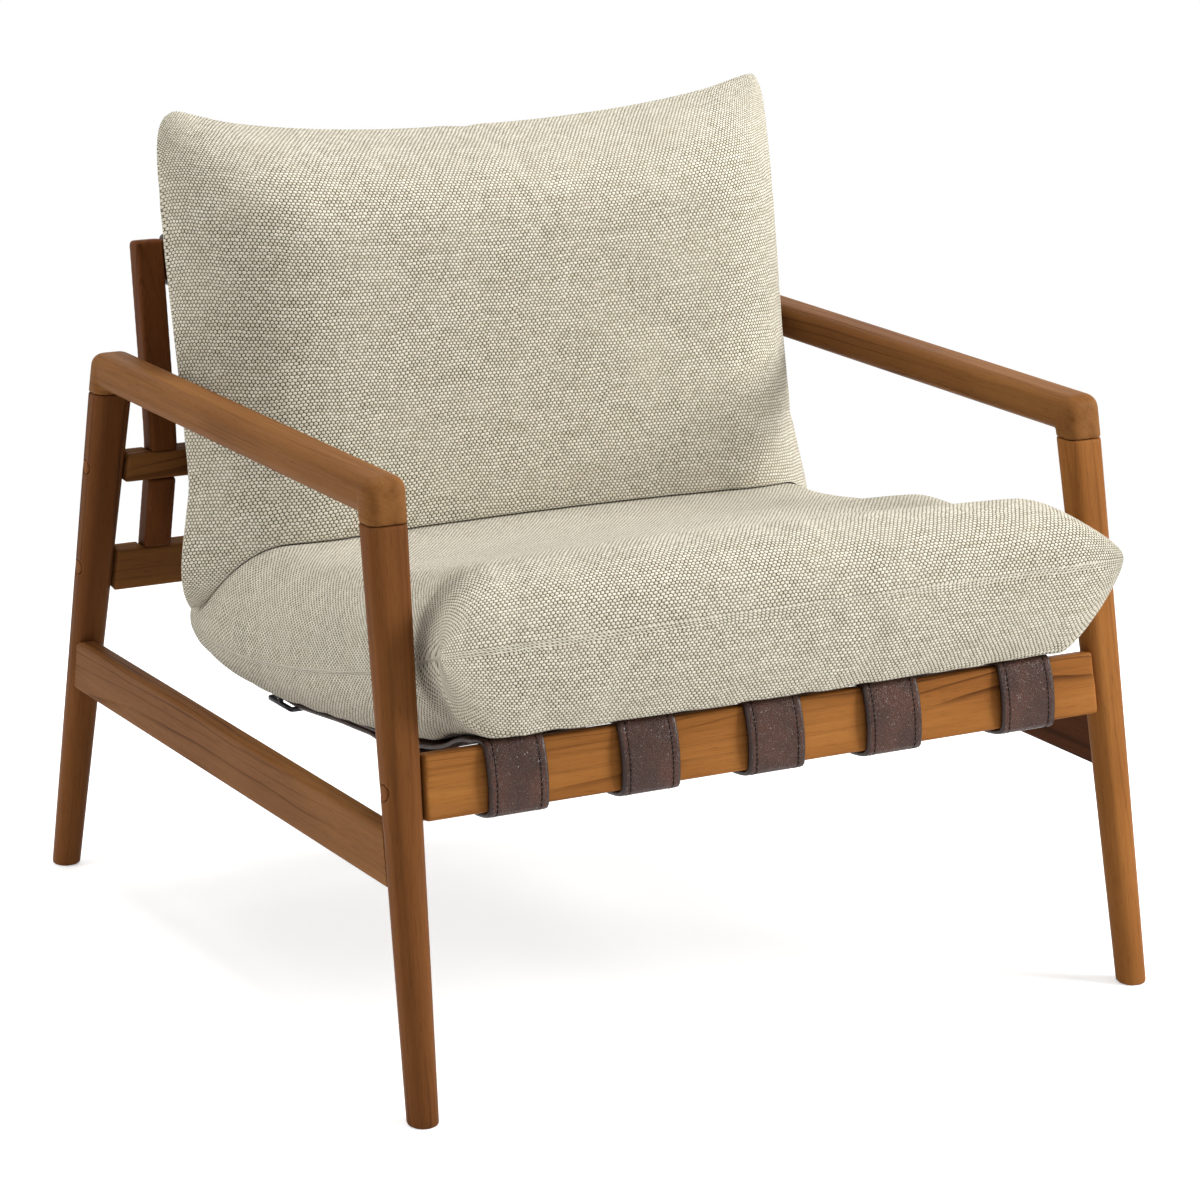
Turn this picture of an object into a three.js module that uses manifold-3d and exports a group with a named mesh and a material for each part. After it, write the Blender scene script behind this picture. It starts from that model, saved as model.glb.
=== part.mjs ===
// An open-arm lounge chair: a splayed wooden frame, five leather straps slung from the front rail
// to the top rail, and two loose cushions that lie on the straps.
// Millimetres, +Z up, the chair faces -Y, and the origin is on the floor midway between the feet.

import * as THREE from 'three';
import { mergeVertices } from 'three/addons/utils/BufferGeometryUtils.js';
import Module from 'manifold-3d';

const wasm = await Module();
wasm.setup();

// Stance of the frame
const armrestOutsideWidth = 720;
const armrestHeight = 518;
const footSpan = 748;
const frontLegLean = 102;
const rearLegLean = 108;
const legSplay = 14;

// Legs
const legTopWidth = 37.5;
const legTopDepth = 30;
const legTopRoundShare = 0.74;
const legFootWidth = 26;
const legFootDepth = 27;
const legFootRoundShare = 0.95;
const footChamfer = 1.5;

// Armrests
const armrestThickness = 32.4;
const armrestRadius = 10;
const knuckleRoundShare = 0.95;
const knuckleDrop = 5;

// Side rails
const sideRailDrop = 60.7;
const sideRailHeight = 49;
const sideRailThickness = 18;
const sideRailSetIn = 1.7;
const sideRailRadius = 3;

// Front rail
const frontRailTop = 297.4;
const frontRailHeight = 54.7;
const frontRailSetback = 1;

// Back rails and posts
const railThickness = 20;
const railRadius = 2.5;
const upperBackRailPlaceShare = 0.729;
const upperBackRailHeight = 27.2;
const lowerBackRailPlaceShare = 0.348;
const lowerBackRailHeight = 40.3;
const backRailSetback = 0.5;
const postWidth = 27;
const postToLeg = 23.7;
const postTop = 612.5;
const postReclineDegrees = 8.2;
const postKneeReach = 24;
const postEdgeRadius = 2.5;
const postTopRadius = 5;
const topRailHeight = 38;
const topRailDrop = 1;
const topRailRadius = 5;

// Bolts, plugs, barrel nuts and loose tenons
const plugDiameter = 13;
const plugDepth = 6;
const boltHeadDiameter = 10;
const boltHeadHeight = 6;
const boltSocketWidth = 5;
const boltSocketDepth = 3;
const boltDiameter = 6;
const boltReachShare = 0.86;
const nutDiameter = 10;
const nutLength = 13;
const nutSetbackShare = 0.5;
const nutRecess = 1;
const frontBoltHeightShare = 0.45;
const backBoltHeightShare = 0.65;
const tenonThickness = 8;
const tenonWidth = 20;
const tenonLength = 38;
const tenonSteps = 3;

// Leather straps
const strapWidth = 56;
const strapThickness = 4.5;
const strapPlaceShares = [-0.3785, -0.1902, -0.0054, 0.1733, 0.3841];
const strapToPost = 0.8;
const strapTailLength = 92;
const strapSewnLength = 40;
const slingSag = 50.5;

// Slider buckles
const buckleLength = 50;
const buckleSideMargin = 0.8;
const buckleBarWidth = 4;
const buckleBarThickness = 3.5;
const buckleRadius = 4;
const bucklePlaceShare = 0.604;

// Seat cushion
const seatSideMargin = 2;
const seatOverhang = 27.5;
const seatBehindBack = 33;
const seatFrontCrown = 82;
const seatRearCrown = 97;
const seatFrontBelly = 90;
const seatRearBelly = 46;
const seatCornerFlare = 19;
const seatSeamOverRail = 90.5;
const seatSeamOverSling = 44;
const seatSideRounding = 58;
const seatFrontRounding = 88;
const seatRearRounding = 110;
const seatUnderRounding = 27;
const seatRestReach = 9;

// Back cushion
const backSideMargin = 2.5;
const backHeight = 437;
const backReclineDegrees = 10;
const backFrontCrown = 95;
const backRearCrown = 99;
const backSideDraw = 3;
const backTopDraw = 24;
const backBottomDraw = 14;
const backEdgeRounding = 88;
const backBottomRounding = 60;
const backCornerNarrowing = 7;
const backLowBulge = 15;
const backBaseOverSling = 63;
const backSlingGap = 4;

// Fits
const clearance = 0.3;
const layerGap = 0.4;
const cushionGap = 0.4;
const cutOverrun = 20;
const weldDistance = 0.001;

// Worked out from the sizes above
const armrestUnderside = armrestHeight - armrestThickness;
const armrestInside = armrestOutsideWidth / 2 - legTopWidth;
const legTop = armrestUnderside - knuckleDrop;
const sideRailTop = frontRailTop - sideRailDrop;
const upperBackRailTop = THREE.MathUtils.lerp(sideRailTop, armrestUnderside, upperBackRailPlaceShare);
const lowerBackRailTop = THREE.MathUtils.lerp(sideRailTop, armrestUnderside, lowerBackRailPlaceShare);
const sides = [['left', -1], ['right', 1]];
const FRONT = -1;
const REAR = 1;

const woodColour = 0x9c6233;
const plugColour = 0xa87442;
const leatherColour = 0x4a3430;
const metalColour = 0x2c2c2e;
const steelColour = 0x8d9094;
const fabricColour = 0xc3bb9f;

const chair = new THREE.Group();

function addPiece(name, geometry, colour, roughness, metalness = 0) {
  const material = new THREE.MeshStandardMaterial({ color: colour, roughness, metalness });
  const mesh = new THREE.Mesh(geometry, material);
  mesh.name = name;
  chair.add(mesh);
  return mesh;
}

// Closed meshes and booleans

function solidFrom(geometry) {
  const bare = geometry.clone();
  for (const name of Object.keys(bare.attributes)) {
    if (name !== 'position') bare.deleteAttribute(name);
  }
  const welded = mergeVertices(bare, weldDistance);
  return new wasm.Manifold(new wasm.Mesh({
    numProp: 3,
    vertProperties: new Float32Array(welded.attributes.position.array),
    triVerts: new Uint32Array(welded.index.array),
  }));
}

function geometryFrom(solid) {
  const mesh = solid.getMesh();
  const geometry = new THREE.BufferGeometry();
  geometry.setAttribute('position', new THREE.BufferAttribute(mesh.vertProperties, 3));
  geometry.setIndex(new THREE.BufferAttribute(mesh.triVerts, 1));
  return geometry;
}

function signedVolume(positions, index) {
  const [a, b, c] = [new THREE.Vector3(), new THREE.Vector3(), new THREE.Vector3()];
  let total = 0;
  for (let i = 0; i < index.length; i += 3) {
    a.fromArray(positions, 3 * index[i]);
    b.fromArray(positions, 3 * index[i + 1]);
    c.fromArray(positions, 3 * index[i + 2]);
    total += a.dot(b.cross(c)) / 6;
  }
  return total;
}

function closedGeometry(points, index) {
  const positions = points.flatMap((p) => [p.x, p.y, p.z]);
  if (signedVolume(positions, index) < 0) index.reverse();
  const geometry = new THREE.BufferGeometry();
  geometry.setAttribute('position', new THREE.Float32BufferAttribute(positions, 3));
  geometry.setIndex(index);
  return geometry;
}

// Skins rings of points, each a convex flat outline, and caps the two ends.
function loft(rings) {
  const count = rings[0].length;
  const index = [];
  for (let r = 0; r + 1 < rings.length; r++) {
    for (let i = 0; i < count; i++) {
      const [a, b] = [r * count + i, r * count + (i + 1) % count];
      index.push(a, b, b + count, a, b + count, a + count);
    }
  }
  const last = (rings.length - 1) * count;
  for (let i = 1; i + 1 < count; i++) {
    index.push(0, i + 1, i, last, last + i, last + i + 1);
  }
  return closedGeometry(rings.flat(), index);
}

function roundedRectangle(width, height, radius, steps) {
  const corners = [[1, 1], [-1, 1], [-1, -1], [1, -1]];
  return corners.flatMap(([acrossSign, upSign], quarter) => (
    Array.from({ length: steps + 1 }, (_, i) => {
      const angle = (quarter + i / steps) * Math.PI / 2;
      return new THREE.Vector2(
        acrossSign * (width / 2 - radius) + radius * Math.cos(angle),
        upSign * (height / 2 - radius) + radius * Math.sin(angle),
      );
    })
  ));
}

// Turns an outline drawn in the YZ plane into a solid that runs along X.
function extrudeAcross(outline, fromX, toX, bevel = 0, holes = []) {
  const shape = new THREE.Shape(outline);
  shape.holes = holes.map((hole) => new THREE.Path(hole));
  const geometry = new THREE.ExtrudeGeometry(shape, {
    depth: toX - fromX - 2 * bevel,
    steps: 1,
    bevelEnabled: bevel > 0,
    bevelThickness: bevel,
    bevelSize: bevel,
    bevelOffset: -bevel,
    bevelSegments: 2,
  });
  geometry.translate(0, 0, fromX + bevel);
  const yAxis = new THREE.Vector3(0, 1, 0);
  const zAxis = new THREE.Vector3(0, 0, 1);
  const xAxis = new THREE.Vector3(1, 0, 0);
  return geometry.applyMatrix4(new THREE.Matrix4().makeBasis(yAxis, zAxis, xAxis));
}

// A cylinder between two points.
function rod(from, to, radius, sidesAround) {
  const geometry = new THREE.CylinderGeometry(radius, radius, from.distanceTo(to), sidesAround);
  const turn = new THREE.Quaternion().setFromUnitVectors(
    new THREE.Vector3(0, 1, 0),
    to.clone().sub(from).normalize(),
  );
  geometry.applyQuaternion(turn);
  const middle = from.clone().add(to).multiplyScalar(0.5);
  return geometry.translate(middle.x, middle.y, middle.z);
}

// Legs

function legAxis(side, end, z) {
  const up = z / armrestHeight;
  const lean = end === FRONT ? frontLegLean : rearLegLean;
  return new THREE.Vector3(
    side * (armrestOutsideWidth / 2 - legTopWidth / 2 + legSplay * (1 - up)),
    end * (footSpan / 2 - lean * up),
    z,
  );
}

function legSection(z) {
  const up = Math.min(1, z / legTop);
  const width = THREE.MathUtils.lerp(legFootWidth, legTopWidth, up);
  const depth = THREE.MathUtils.lerp(legFootDepth, legTopDepth, up);
  const roundShare = THREE.MathUtils.lerp(legFootRoundShare, legTopRoundShare, up);
  return { width, depth, radius: roundShare * Math.min(width, depth) / 2 };
}

const legCornerSteps = 5;

function legRing(side, end, z, growth = 0) {
  const { width, depth, radius } = legSection(z);
  const axis = legAxis(side, end, z);
  return roundedRectangle(width + 2 * growth, depth + 2 * growth, radius + growth, legCornerSteps)
    .map((p) => new THREE.Vector3(axis.x + p.x, axis.y + p.y, z));
}

function legBlank(side, end) {
  return solidFrom(loft([
    legRing(side, end, 0, -footChamfer),
    legRing(side, end, footChamfer),
    legRing(side, end, legTop - clearance),
  ]));
}

function legCutter(side, end, fromZ, toZ) {
  return solidFrom(loft([legRing(side, end, fromZ, clearance), legRing(side, end, toZ, clearance)]));
}

function legInnerFace(end, z) {
  return Math.abs(legAxis(1, end, z).x) - legSection(z).width / 2;
}

function legOuterFace(end, z) {
  return Math.abs(legAxis(1, end, z).x) + legSection(z).width / 2;
}

// Boards that lean with a pair of legs. The section is placed by its top front edge.

function leanDirections(end) {
  const lean = end === FRONT ? frontLegLean : rearLegLean;
  const up = new THREE.Vector2(-end * lean, armrestHeight).normalize();
  return { up, forward: new THREE.Vector2(-up.y, up.x) };
}

function sectionPoint(board, depth, drop) {
  return board.corner.clone()
    .addScaledVector(board.forward, -depth)
    .addScaledVector(board.up, -drop);
}

function leaningBoard(end, top, height, setback) {
  const { up, forward } = leanDirections(end);
  const frontFace = legAxis(1, end, top).y - legSection(top).depth / 2;
  return { up, forward, end, height, thickness: railThickness,
    corner: new THREE.Vector2(frontFace + setback, top) };
}

const boardCornerSteps = 3;

function boardOutline(board, radius) {
  return roundedRectangle(board.thickness, board.height, radius, boardCornerSteps)
    .map((p) => sectionPoint(board, board.thickness / 2 - p.x, board.height / 2 - p.y));
}

function boardBetweenLegs(board) {
  const outline = boardOutline(board, railRadius);
  return solidFrom(loft([-1, 1].map((side) => outline.map((p) => (
    new THREE.Vector3(side * (legInnerFace(board.end, p.y) - clearance), p.x, p.y)
  )))));
}

const frontBoard = leaningBoard(FRONT, frontRailTop, frontRailHeight, frontRailSetback);
const upperBoard = leaningBoard(REAR, upperBackRailTop, upperBackRailHeight, backRailSetback);
const lowerBoard = leaningBoard(REAR, lowerBackRailTop, lowerBackRailHeight, backRailSetback);

// Bolted joints: a bolt runs in from the leg's outer face to a barrel nut in the rail's end,
// and a round plug covers its head.

const boltedJoints = [
  { name: 'front', board: frontBoard, heightShare: frontBoltHeightShare },
  { name: 'upper_back', board: upperBoard, heightShare: backBoltHeightShare },
  { name: 'lower_back', board: lowerBoard, heightShare: backBoltHeightShare },
];

const rodSides = 16;
const boltReach = boltReachShare * postToLeg;
const nutSetback = nutSetbackShare * postToLeg;

function boltLine(joint, side) {
  const { board, heightShare } = joint;
  const z = sectionPoint(board, 0, board.height * (1 - heightShare)).y;
  const axis = legAxis(side, board.end, z);
  return (x) => new THREE.Vector3(side * x, axis.y, z);
}

function boltStations(joint) {
  const z = boltLine(joint, 1)(0).z;
  const outer = legOuterFace(joint.board.end, z);
  const headTop = outer - plugDepth - clearance;
  return {
    outer,
    headTop,
    headSeat: headTop - boltHeadHeight,
    railEnd: legInnerFace(joint.board.end, z) - clearance,
  };
}

function nutAxis(joint, side) {
  const { board } = joint;
  const at = boltLine(joint, side)(boltStations(joint).railEnd - nutSetback);
  const inside = new THREE.Vector2(at.y, at.z).sub(board.corner).dot(board.forward);
  const onPlane = (depth) => {
    const shift = -depth - inside;
    return new THREE.Vector3(at.x, at.y + board.forward.x * shift, at.z + board.forward.y * shift);
  };
  return onPlane;
}

function legBoltHole(joint, side) {
  const line = boltLine(joint, side);
  const { outer, headSeat } = boltStations(joint);
  const plugHole = rod(line(outer + cutOverrun), line(headSeat - clearance),
    plugDiameter / 2 + clearance, rodSides);
  const shankHole = rod(line(outer), line(outer - 2 * legTopWidth),
    boltDiameter / 2 + clearance, rodSides);
  return solidFrom(plugHole).add(solidFrom(shankHole));
}

function railBoltHole(joint, side) {
  const line = boltLine(joint, side);
  const { railEnd } = boltStations(joint);
  const nut = nutAxis(joint, side);
  const shankHole = rod(line(railEnd + cutOverrun), line(railEnd - boltReach - 2 * clearance),
    boltDiameter / 2 + clearance, rodSides);
  const nutHole = rod(nut(joint.board.thickness + cutOverrun),
    nut(joint.board.thickness - nutRecess - nutLength - clearance),
    nutDiameter / 2 + clearance, rodSides);
  return solidFrom(shankHole).add(solidFrom(nutHole));
}

function makeBolt(joint, side) {
  const line = boltLine(joint, side);
  const { headTop, headSeat, railEnd } = boltStations(joint);
  const head = rod(line(headTop), line(headSeat), boltHeadDiameter / 2, rodSides);
  const shank = rod(line(headSeat + boltSocketDepth / 2), line(railEnd - boltReach),
    boltDiameter / 2, rodSides);
  const hexSides = 6;
  const socket = rod(line(headTop + cutOverrun), line(headTop - boltSocketDepth),
    boltSocketWidth / 2, hexSides);
  return solidFrom(head).add(solidFrom(shank)).subtract(solidFrom(socket));
}

function makeBarrelNut(joint, side) {
  const line = boltLine(joint, side);
  const nut = nutAxis(joint, side);
  const { railEnd } = boltStations(joint);
  const outside = joint.board.thickness - nutRecess;
  const body = rod(nut(outside), nut(outside - nutLength), nutDiameter / 2, rodSides);
  const thread = rod(line(railEnd), line(railEnd - 2 * nutSetback),
    boltDiameter / 2 + clearance, rodSides);
  return solidFrom(body).subtract(solidFrom(thread));
}

function makePlug(joint, side, leg) {
  const line = boltLine(joint, side);
  const { outer } = boltStations(joint);
  const core = rod(line(outer + cutOverrun), line(outer - plugDepth), plugDiameter / 2, rodSides);
  return solidFrom(core).intersect(leg);
}

// Loose tenons: flat rounded keys, half in each of the two pieces that they join.

function tenonAt(centre, along, widthDirection, growth = 0) {
  const across = new THREE.Vector3().crossVectors(along, widthDirection).normalize();
  const outline = roundedRectangle(tenonWidth + 2 * growth, tenonThickness + 2 * growth,
    tenonThickness / 2 + growth, tenonSteps);
  const reach = tenonLength / 2 + growth;
  const ring = (distance) => outline.map((p) => centre.clone()
    .addScaledVector(along, distance)
    .addScaledVector(widthDirection, p.x)
    .addScaledVector(across, p.y));
  return solidFrom(loft([ring(-reach), ring(reach)]));
}

const alongX = new THREE.Vector3(1, 0, 0);
const alongY = new THREE.Vector3(0, 1, 0);
const alongZ = new THREE.Vector3(0, 0, 1);

function armrestTenon(side, end, growth = 0) {
  const centre = legAxis(side, end, legTop);
  return tenonAt(centre, alongZ, alongX, growth);
}

function sideRailTenon(side, end, growth = 0) {
  const z = sideRailTop - sideRailHeight / 2;
  const legFace = legAxis(side, end, z).y - end * legSection(z).depth / 2;
  const x = side * (sideRailOutside - sideRailThickness / 2);
  return tenonAt(new THREE.Vector3(x, legFace, z), alongY, alongZ, growth);
}

// Side rails: boards coped to the round of the legs

const sideRailOutside = legOuterFace(FRONT, sideRailTop - sideRailHeight / 2) - sideRailSetIn;

function makeSideRail(side) {
  const middle = sideRailTop - sideRailHeight / 2;
  const outline = roundedRectangle(sideRailThickness, sideRailHeight, sideRailRadius,
    boardCornerSteps);
  const x = side * (sideRailOutside - sideRailThickness / 2);
  const ring = (end) => outline.map((p) => (
    new THREE.Vector3(x + p.x, legAxis(side, end, middle).y, middle + p.y)
  ));
  let rail = solidFrom(loft([ring(FRONT), ring(REAR)]));
  for (const end of [FRONT, REAR]) {
    rail = rail
      .subtract(legCutter(side, end, sideRailTop - 2 * sideRailHeight, sideRailTop + sideRailHeight))
      .subtract(sideRailTenon(side, end, clearance));
  }
  return rail;
}

// Armrests: a beam whose ends turn down as knuckles that carry the legs' section on

const knuckleSteps = 5;
const knuckleRadius = knuckleRoundShare * legSection(legTop).radius;

function knuckle(side, end) {
  const rings = [legRing(side, end, legTop)];
  for (let i = 0; i <= knuckleSteps; i++) {
    const angle = i / knuckleSteps * Math.PI / 2;
    const z = armrestHeight - knuckleRadius * (1 - Math.sin(angle));
    rings.push(legRing(side, end, z, -knuckleRadius * (1 - Math.cos(angle))));
  }
  return solidFrom(loft(rings));
}

// The small hollow under the armrest where it turns down onto the leg
function knuckleFillet(side, end) {
  const axis = legAxis(side, end, armrestUnderside);
  const corner = new THREE.Vector2(axis.y - end * legTopDepth / 2, armrestUnderside);
  const foot = legAxis(side, end, legTop).y - end * legTopDepth / 2;
  const hollow = new THREE.QuadraticBezierCurve(
    corner.clone().add(new THREE.Vector2(-end * knuckleDrop, 0)),
    corner,
    new THREE.Vector2(foot, legTop),
  ).getPoints(knuckleSteps);
  const within = new THREE.Vector2(axis.y, armrestHeight - knuckleRadius);
  const outline = [...hollow, new THREE.Vector2(axis.y, legTop), within];
  if (end === FRONT) outline.reverse();
  return solidFrom(extrudeAcross(outline, axis.x - legTopWidth / 4, axis.x + legTopWidth / 4));
}

function makeArmrest(side) {
  const middle = armrestHeight - armrestThickness / 2;
  const outline = roundedRectangle(legTopWidth, armrestThickness, armrestRadius, legCornerSteps);
  const ring = (end) => outline.map((p) => {
    const axis = legAxis(side, end, middle);
    return new THREE.Vector3(side * (armrestOutsideWidth - legTopWidth) / 2 + p.x, axis.y,
      middle + p.y);
  });
  let armrest = solidFrom(loft([ring(FRONT), ring(REAR)]));
  for (const end of [FRONT, REAR]) {
    armrest = armrest.add(knuckle(side, end)).add(knuckleFillet(side, end))
      .subtract(armrestTenon(side, end, clearance));
  }
  return armrest;
}

// Back posts: bent boards in the YZ plane, behind which the two back rails run

const postRecline = THREE.MathUtils.degToRad(postReclineDegrees);
const postUp = new THREE.Vector2(Math.sin(postRecline), Math.cos(postRecline));
const postForward = new THREE.Vector2(-postUp.y, postUp.x);
const kneeFront = sectionPoint(upperBoard, 0, -clearance);
const postFoot = sectionPoint(lowerBoard, 0, lowerBoard.height);

function postPoint(rise, depth) {
  return kneeFront.clone().addScaledVector(postUp, rise).addScaledVector(postForward, -depth);
}

const postRise = (postTop - kneeFront.y) / postUp.y;

// The knee's inner corner, where the two back faces meet
const kneeTurn = new THREE.Vector2().addVectors(upperBoard.forward, postForward);
const kneeBack = kneeFront.clone()
  .addScaledVector(kneeTurn, -2 * railThickness / kneeTurn.lengthSq());

const kneeSteps = 6;

function bendPoints(before, corner, after) {
  const start = corner.clone().add(before.clone().sub(corner).setLength(postKneeReach));
  const finish = corner.clone().add(after.clone().sub(corner).setLength(postKneeReach));
  return new THREE.QuadraticBezierCurve(start, corner, finish).getPoints(kneeSteps);
}

function postOutline() {
  const footBack = postFoot.clone().addScaledVector(upperBoard.forward, -railThickness);
  const topFront = postPoint(postRise, 0);
  const topBack = postPoint(postRise, railThickness);
  const rounded = (corner, inward, sideways) => new THREE.QuadraticBezierCurve(
    corner.clone().addScaledVector(inward, postTopRadius),
    corner,
    corner.clone().addScaledVector(sideways, postTopRadius),
  ).getPoints(boardCornerSteps);
  const down = postUp.clone().negate();
  const back = postForward.clone().negate();
  return [
    footBack,
    ...bendPoints(footBack, kneeBack, topBack),
    ...rounded(topBack, down, postForward),
    ...rounded(topFront, back, down),
    ...bendPoints(topFront, kneeFront, postFoot),
    postFoot,
  ];
}

const postOuter = legInnerFace(REAR, upperBackRailTop) - postToLeg;
const postInner = postOuter - postWidth;

// Half laps: the rails keep their front half where they cross a post, the posts their back half
function lapBlock(board, fromDepth, toDepth, endGrowth) {
  const corners = [
    sectionPoint(board, fromDepth, -endGrowth),
    sectionPoint(board, fromDepth, board.height + endGrowth),
    sectionPoint(board, toDepth, board.height + endGrowth),
    sectionPoint(board, toDepth, -endGrowth),
  ];
  return (side, sideGrowth) => {
    const [inner, outer] = [side * (postInner - sideGrowth), side * (postOuter + sideGrowth)];
    return solidFrom(extrudeAcross(corners, Math.min(inner, outer), Math.max(inner, outer)));
  };
}

function makePost(side) {
  const [inner, outer] = [side * postInner, side * postOuter];
  let post = solidFrom(extrudeAcross(postOutline(), Math.min(inner, outer),
    Math.max(inner, outer), postEdgeRadius));
  for (const board of [upperBoard, lowerBoard]) {
    const halfDepth = railThickness / 2 + clearance / 2;
    post = post.subtract(lapBlock(board, -cutOverrun, halfDepth, clearance)(side, cutOverrun));
  }
  return post.subtract(topRailTenon(side, clearance));
}

function cutLap(rail, board, side) {
  const halfDepth = railThickness / 2 - clearance / 2;
  return rail.subtract(lapBlock(board, halfDepth, railThickness + cutOverrun,
    cutOverrun)(side, clearance));
}

// Top rail between the posts

const topBoard = {
  up: postUp,
  forward: postForward,
  height: topRailHeight,
  thickness: railThickness,
  corner: postPoint(postRise - topRailDrop, 0),
};

function topRailTenon(side, growth = 0) {
  const centre = sectionPoint(topBoard, topBoard.thickness / 2, topBoard.height / 2);
  const upward = new THREE.Vector3(0, postUp.x, postUp.y);
  return tenonAt(new THREE.Vector3(side * postInner, centre.x, centre.y), alongX, upward, growth);
}

function makeTopRail() {
  const outline = boardOutline(topBoard, topRailRadius);
  let rail = solidFrom(loft([-1, 1].map((side) => outline.map((p) => (
    new THREE.Vector3(side * (postInner - clearance), p.x, p.y)
  )))));
  for (const [, side] of sides) rail = rail.subtract(topRailTenon(side, clearance));
  return rail;
}

// The sling's side view: one ribbon of leather, drawn as a centreline in the YZ plane.
// It starts as a free tail under the seat, runs forward through the buckle, wraps the front rail,
// carries the seat and the back, wraps the top rail and is sewn to itself behind the back.

const ribbonOffset = clearance + strapThickness / 2;

function wrapCorner(board, depthSide, dropSide) {
  const depth = depthSide > 0 ? board.thickness + ribbonOffset : -ribbonOffset;
  const drop = dropSide > 0 ? board.height + ribbonOffset : -ribbonOffset;
  return sectionPoint(board, depth, drop);
}

const slingStart = wrapCorner(frontBoard, 1, 0);
const slingEnd = wrapCorner(topBoard, 0, 1);
const slingLow = slingStart.y - slingSag;

// Shares of the run from the front rail to the top rail, and of the rise from the lowest point
const slingShares = [
  [0.035, 0.1395], [0.085, 0.097], [0.15, 0.066], [0.225, 0.048], [0.3, 0.036], [0.405, 0.0195],
  [0.5, 0.0075], [0.56, 0.002], [0.605, 0], [0.65, 0.0015], [0.7, 0.0075], [0.785, 0.039],
  [0.85, 0.0925], [0.897, 0.174], [0.925, 0.286], [0.945, 0.426], [0.962, 0.58], [0.979, 0.748],
  [0.991, 0.888],
];

function slingPoint([alongShare, riseShare]) {
  return new THREE.Vector2(
    THREE.MathUtils.lerp(slingStart.x, slingEnd.x, alongShare),
    THREE.MathUtils.lerp(slingLow, slingEnd.y, riseShare),
  );
}

const slingCurve = new THREE.SplineCurve([slingStart, ...slingShares.map(slingPoint), slingEnd]);
const slingSamples = 34;
const slingLine = slingCurve.getPoints(slingSamples);

// The height of the sling's upper face over a place in the seat
function slingTopAt(y) {
  const next = slingLine.findIndex((p) => p.x > y);
  if (next < 1) return slingStart.y + strapThickness / 2;
  const [a, b] = [slingLine[next - 1], slingLine[next]];
  const slope = (b.y - a.y) / (b.x - a.x);
  return a.y + slope * (y - a.x) + strapThickness / 2 * Math.hypot(1, slope);
}

// The sling's front face behind the back cushion
function slingFrontAt(z) {
  const rising = slingLine.filter((p) => p.x > slingPoint([0.7, 0]).x);
  const next = rising.findIndex((p) => p.y > z);
  if (next === 0) return rising[0].x;
  if (next < 0) {
    const above = z - slingEnd.y;
    return slingEnd.x + above * postUp.x / postUp.y - strapThickness / 2;
  }
  const [a, b] = [rising[next - 1], rising[next]];
  const slope = (b.x - a.x) / (b.y - a.y);
  return a.x + slope * (z - a.y) - strapThickness / 2 * Math.hypot(1, slope);
}

// Rounds the corners of a polyline; each point carries the radius of its corner.
function roundedPath(points, arcSteps) {
  const path = [];
  points.forEach(({ at, radius = 0 }, i) => {
    const [before, after] = [points[i - 1], points[i + 1]];
    if (!before || !after || radius === 0) {
      path.push(at);
      return;
    }
    const arriving = at.clone().sub(before.at).normalize();
    const leaving = after.at.clone().sub(at).normalize();
    const turn = Math.acos(THREE.MathUtils.clamp(arriving.dot(leaving), -1, 1));
    const cut = radius * Math.tan(turn / 2);
    const start = at.clone().addScaledVector(arriving, -cut);
    const finish = at.clone().addScaledVector(leaving, cut);
    const inward = leaving.clone().sub(arriving).normalize();
    const centre = at.clone().addScaledVector(inward, radius / Math.cos(turn / 2));
    const [from, to] = [start.clone().sub(centre), finish.clone().sub(centre)];
    for (let step = 0; step <= arcSteps; step++) {
      const blend = step / arcSteps;
      const spoke = from.clone().multiplyScalar(Math.sin((1 - blend) * turn))
        .addScaledVector(to, Math.sin(blend * turn))
        .divideScalar(Math.sin(turn));
      path.push(centre.clone().add(spoke));
    }
  });
  return path;
}

const layerDrop = strapThickness + layerGap;
const buckleDrop = strapThickness + 2 * clearance + buckleBarThickness;
const arcSteps = 3;

// A point under the sling, at a share of its run
function underSling(alongShare, drop) {
  const y = THREE.MathUtils.lerp(slingStart.x, slingEnd.x, alongShare);
  return new THREE.Vector2(y, slingTopAt(y) - strapThickness / 2 - drop);
}

const buckleCentre = underSling(bucklePlaceShare, buckleDrop);
const buckleReachShare = 0.03;
const tailSlope = underSling(bucklePlaceShare + buckleReachShare, 0)
  .sub(underSling(bucklePlaceShare - buckleReachShare, 0))
  .normalize();
const buckleStraight = buckleLength / 2 + strapThickness;

function tailPoint(distance) {
  return buckleCentre.clone().addScaledVector(tailSlope, distance);
}

const joinShares = [0.41, 0.36, 0.31];
const joinRadius = 30;

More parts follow.
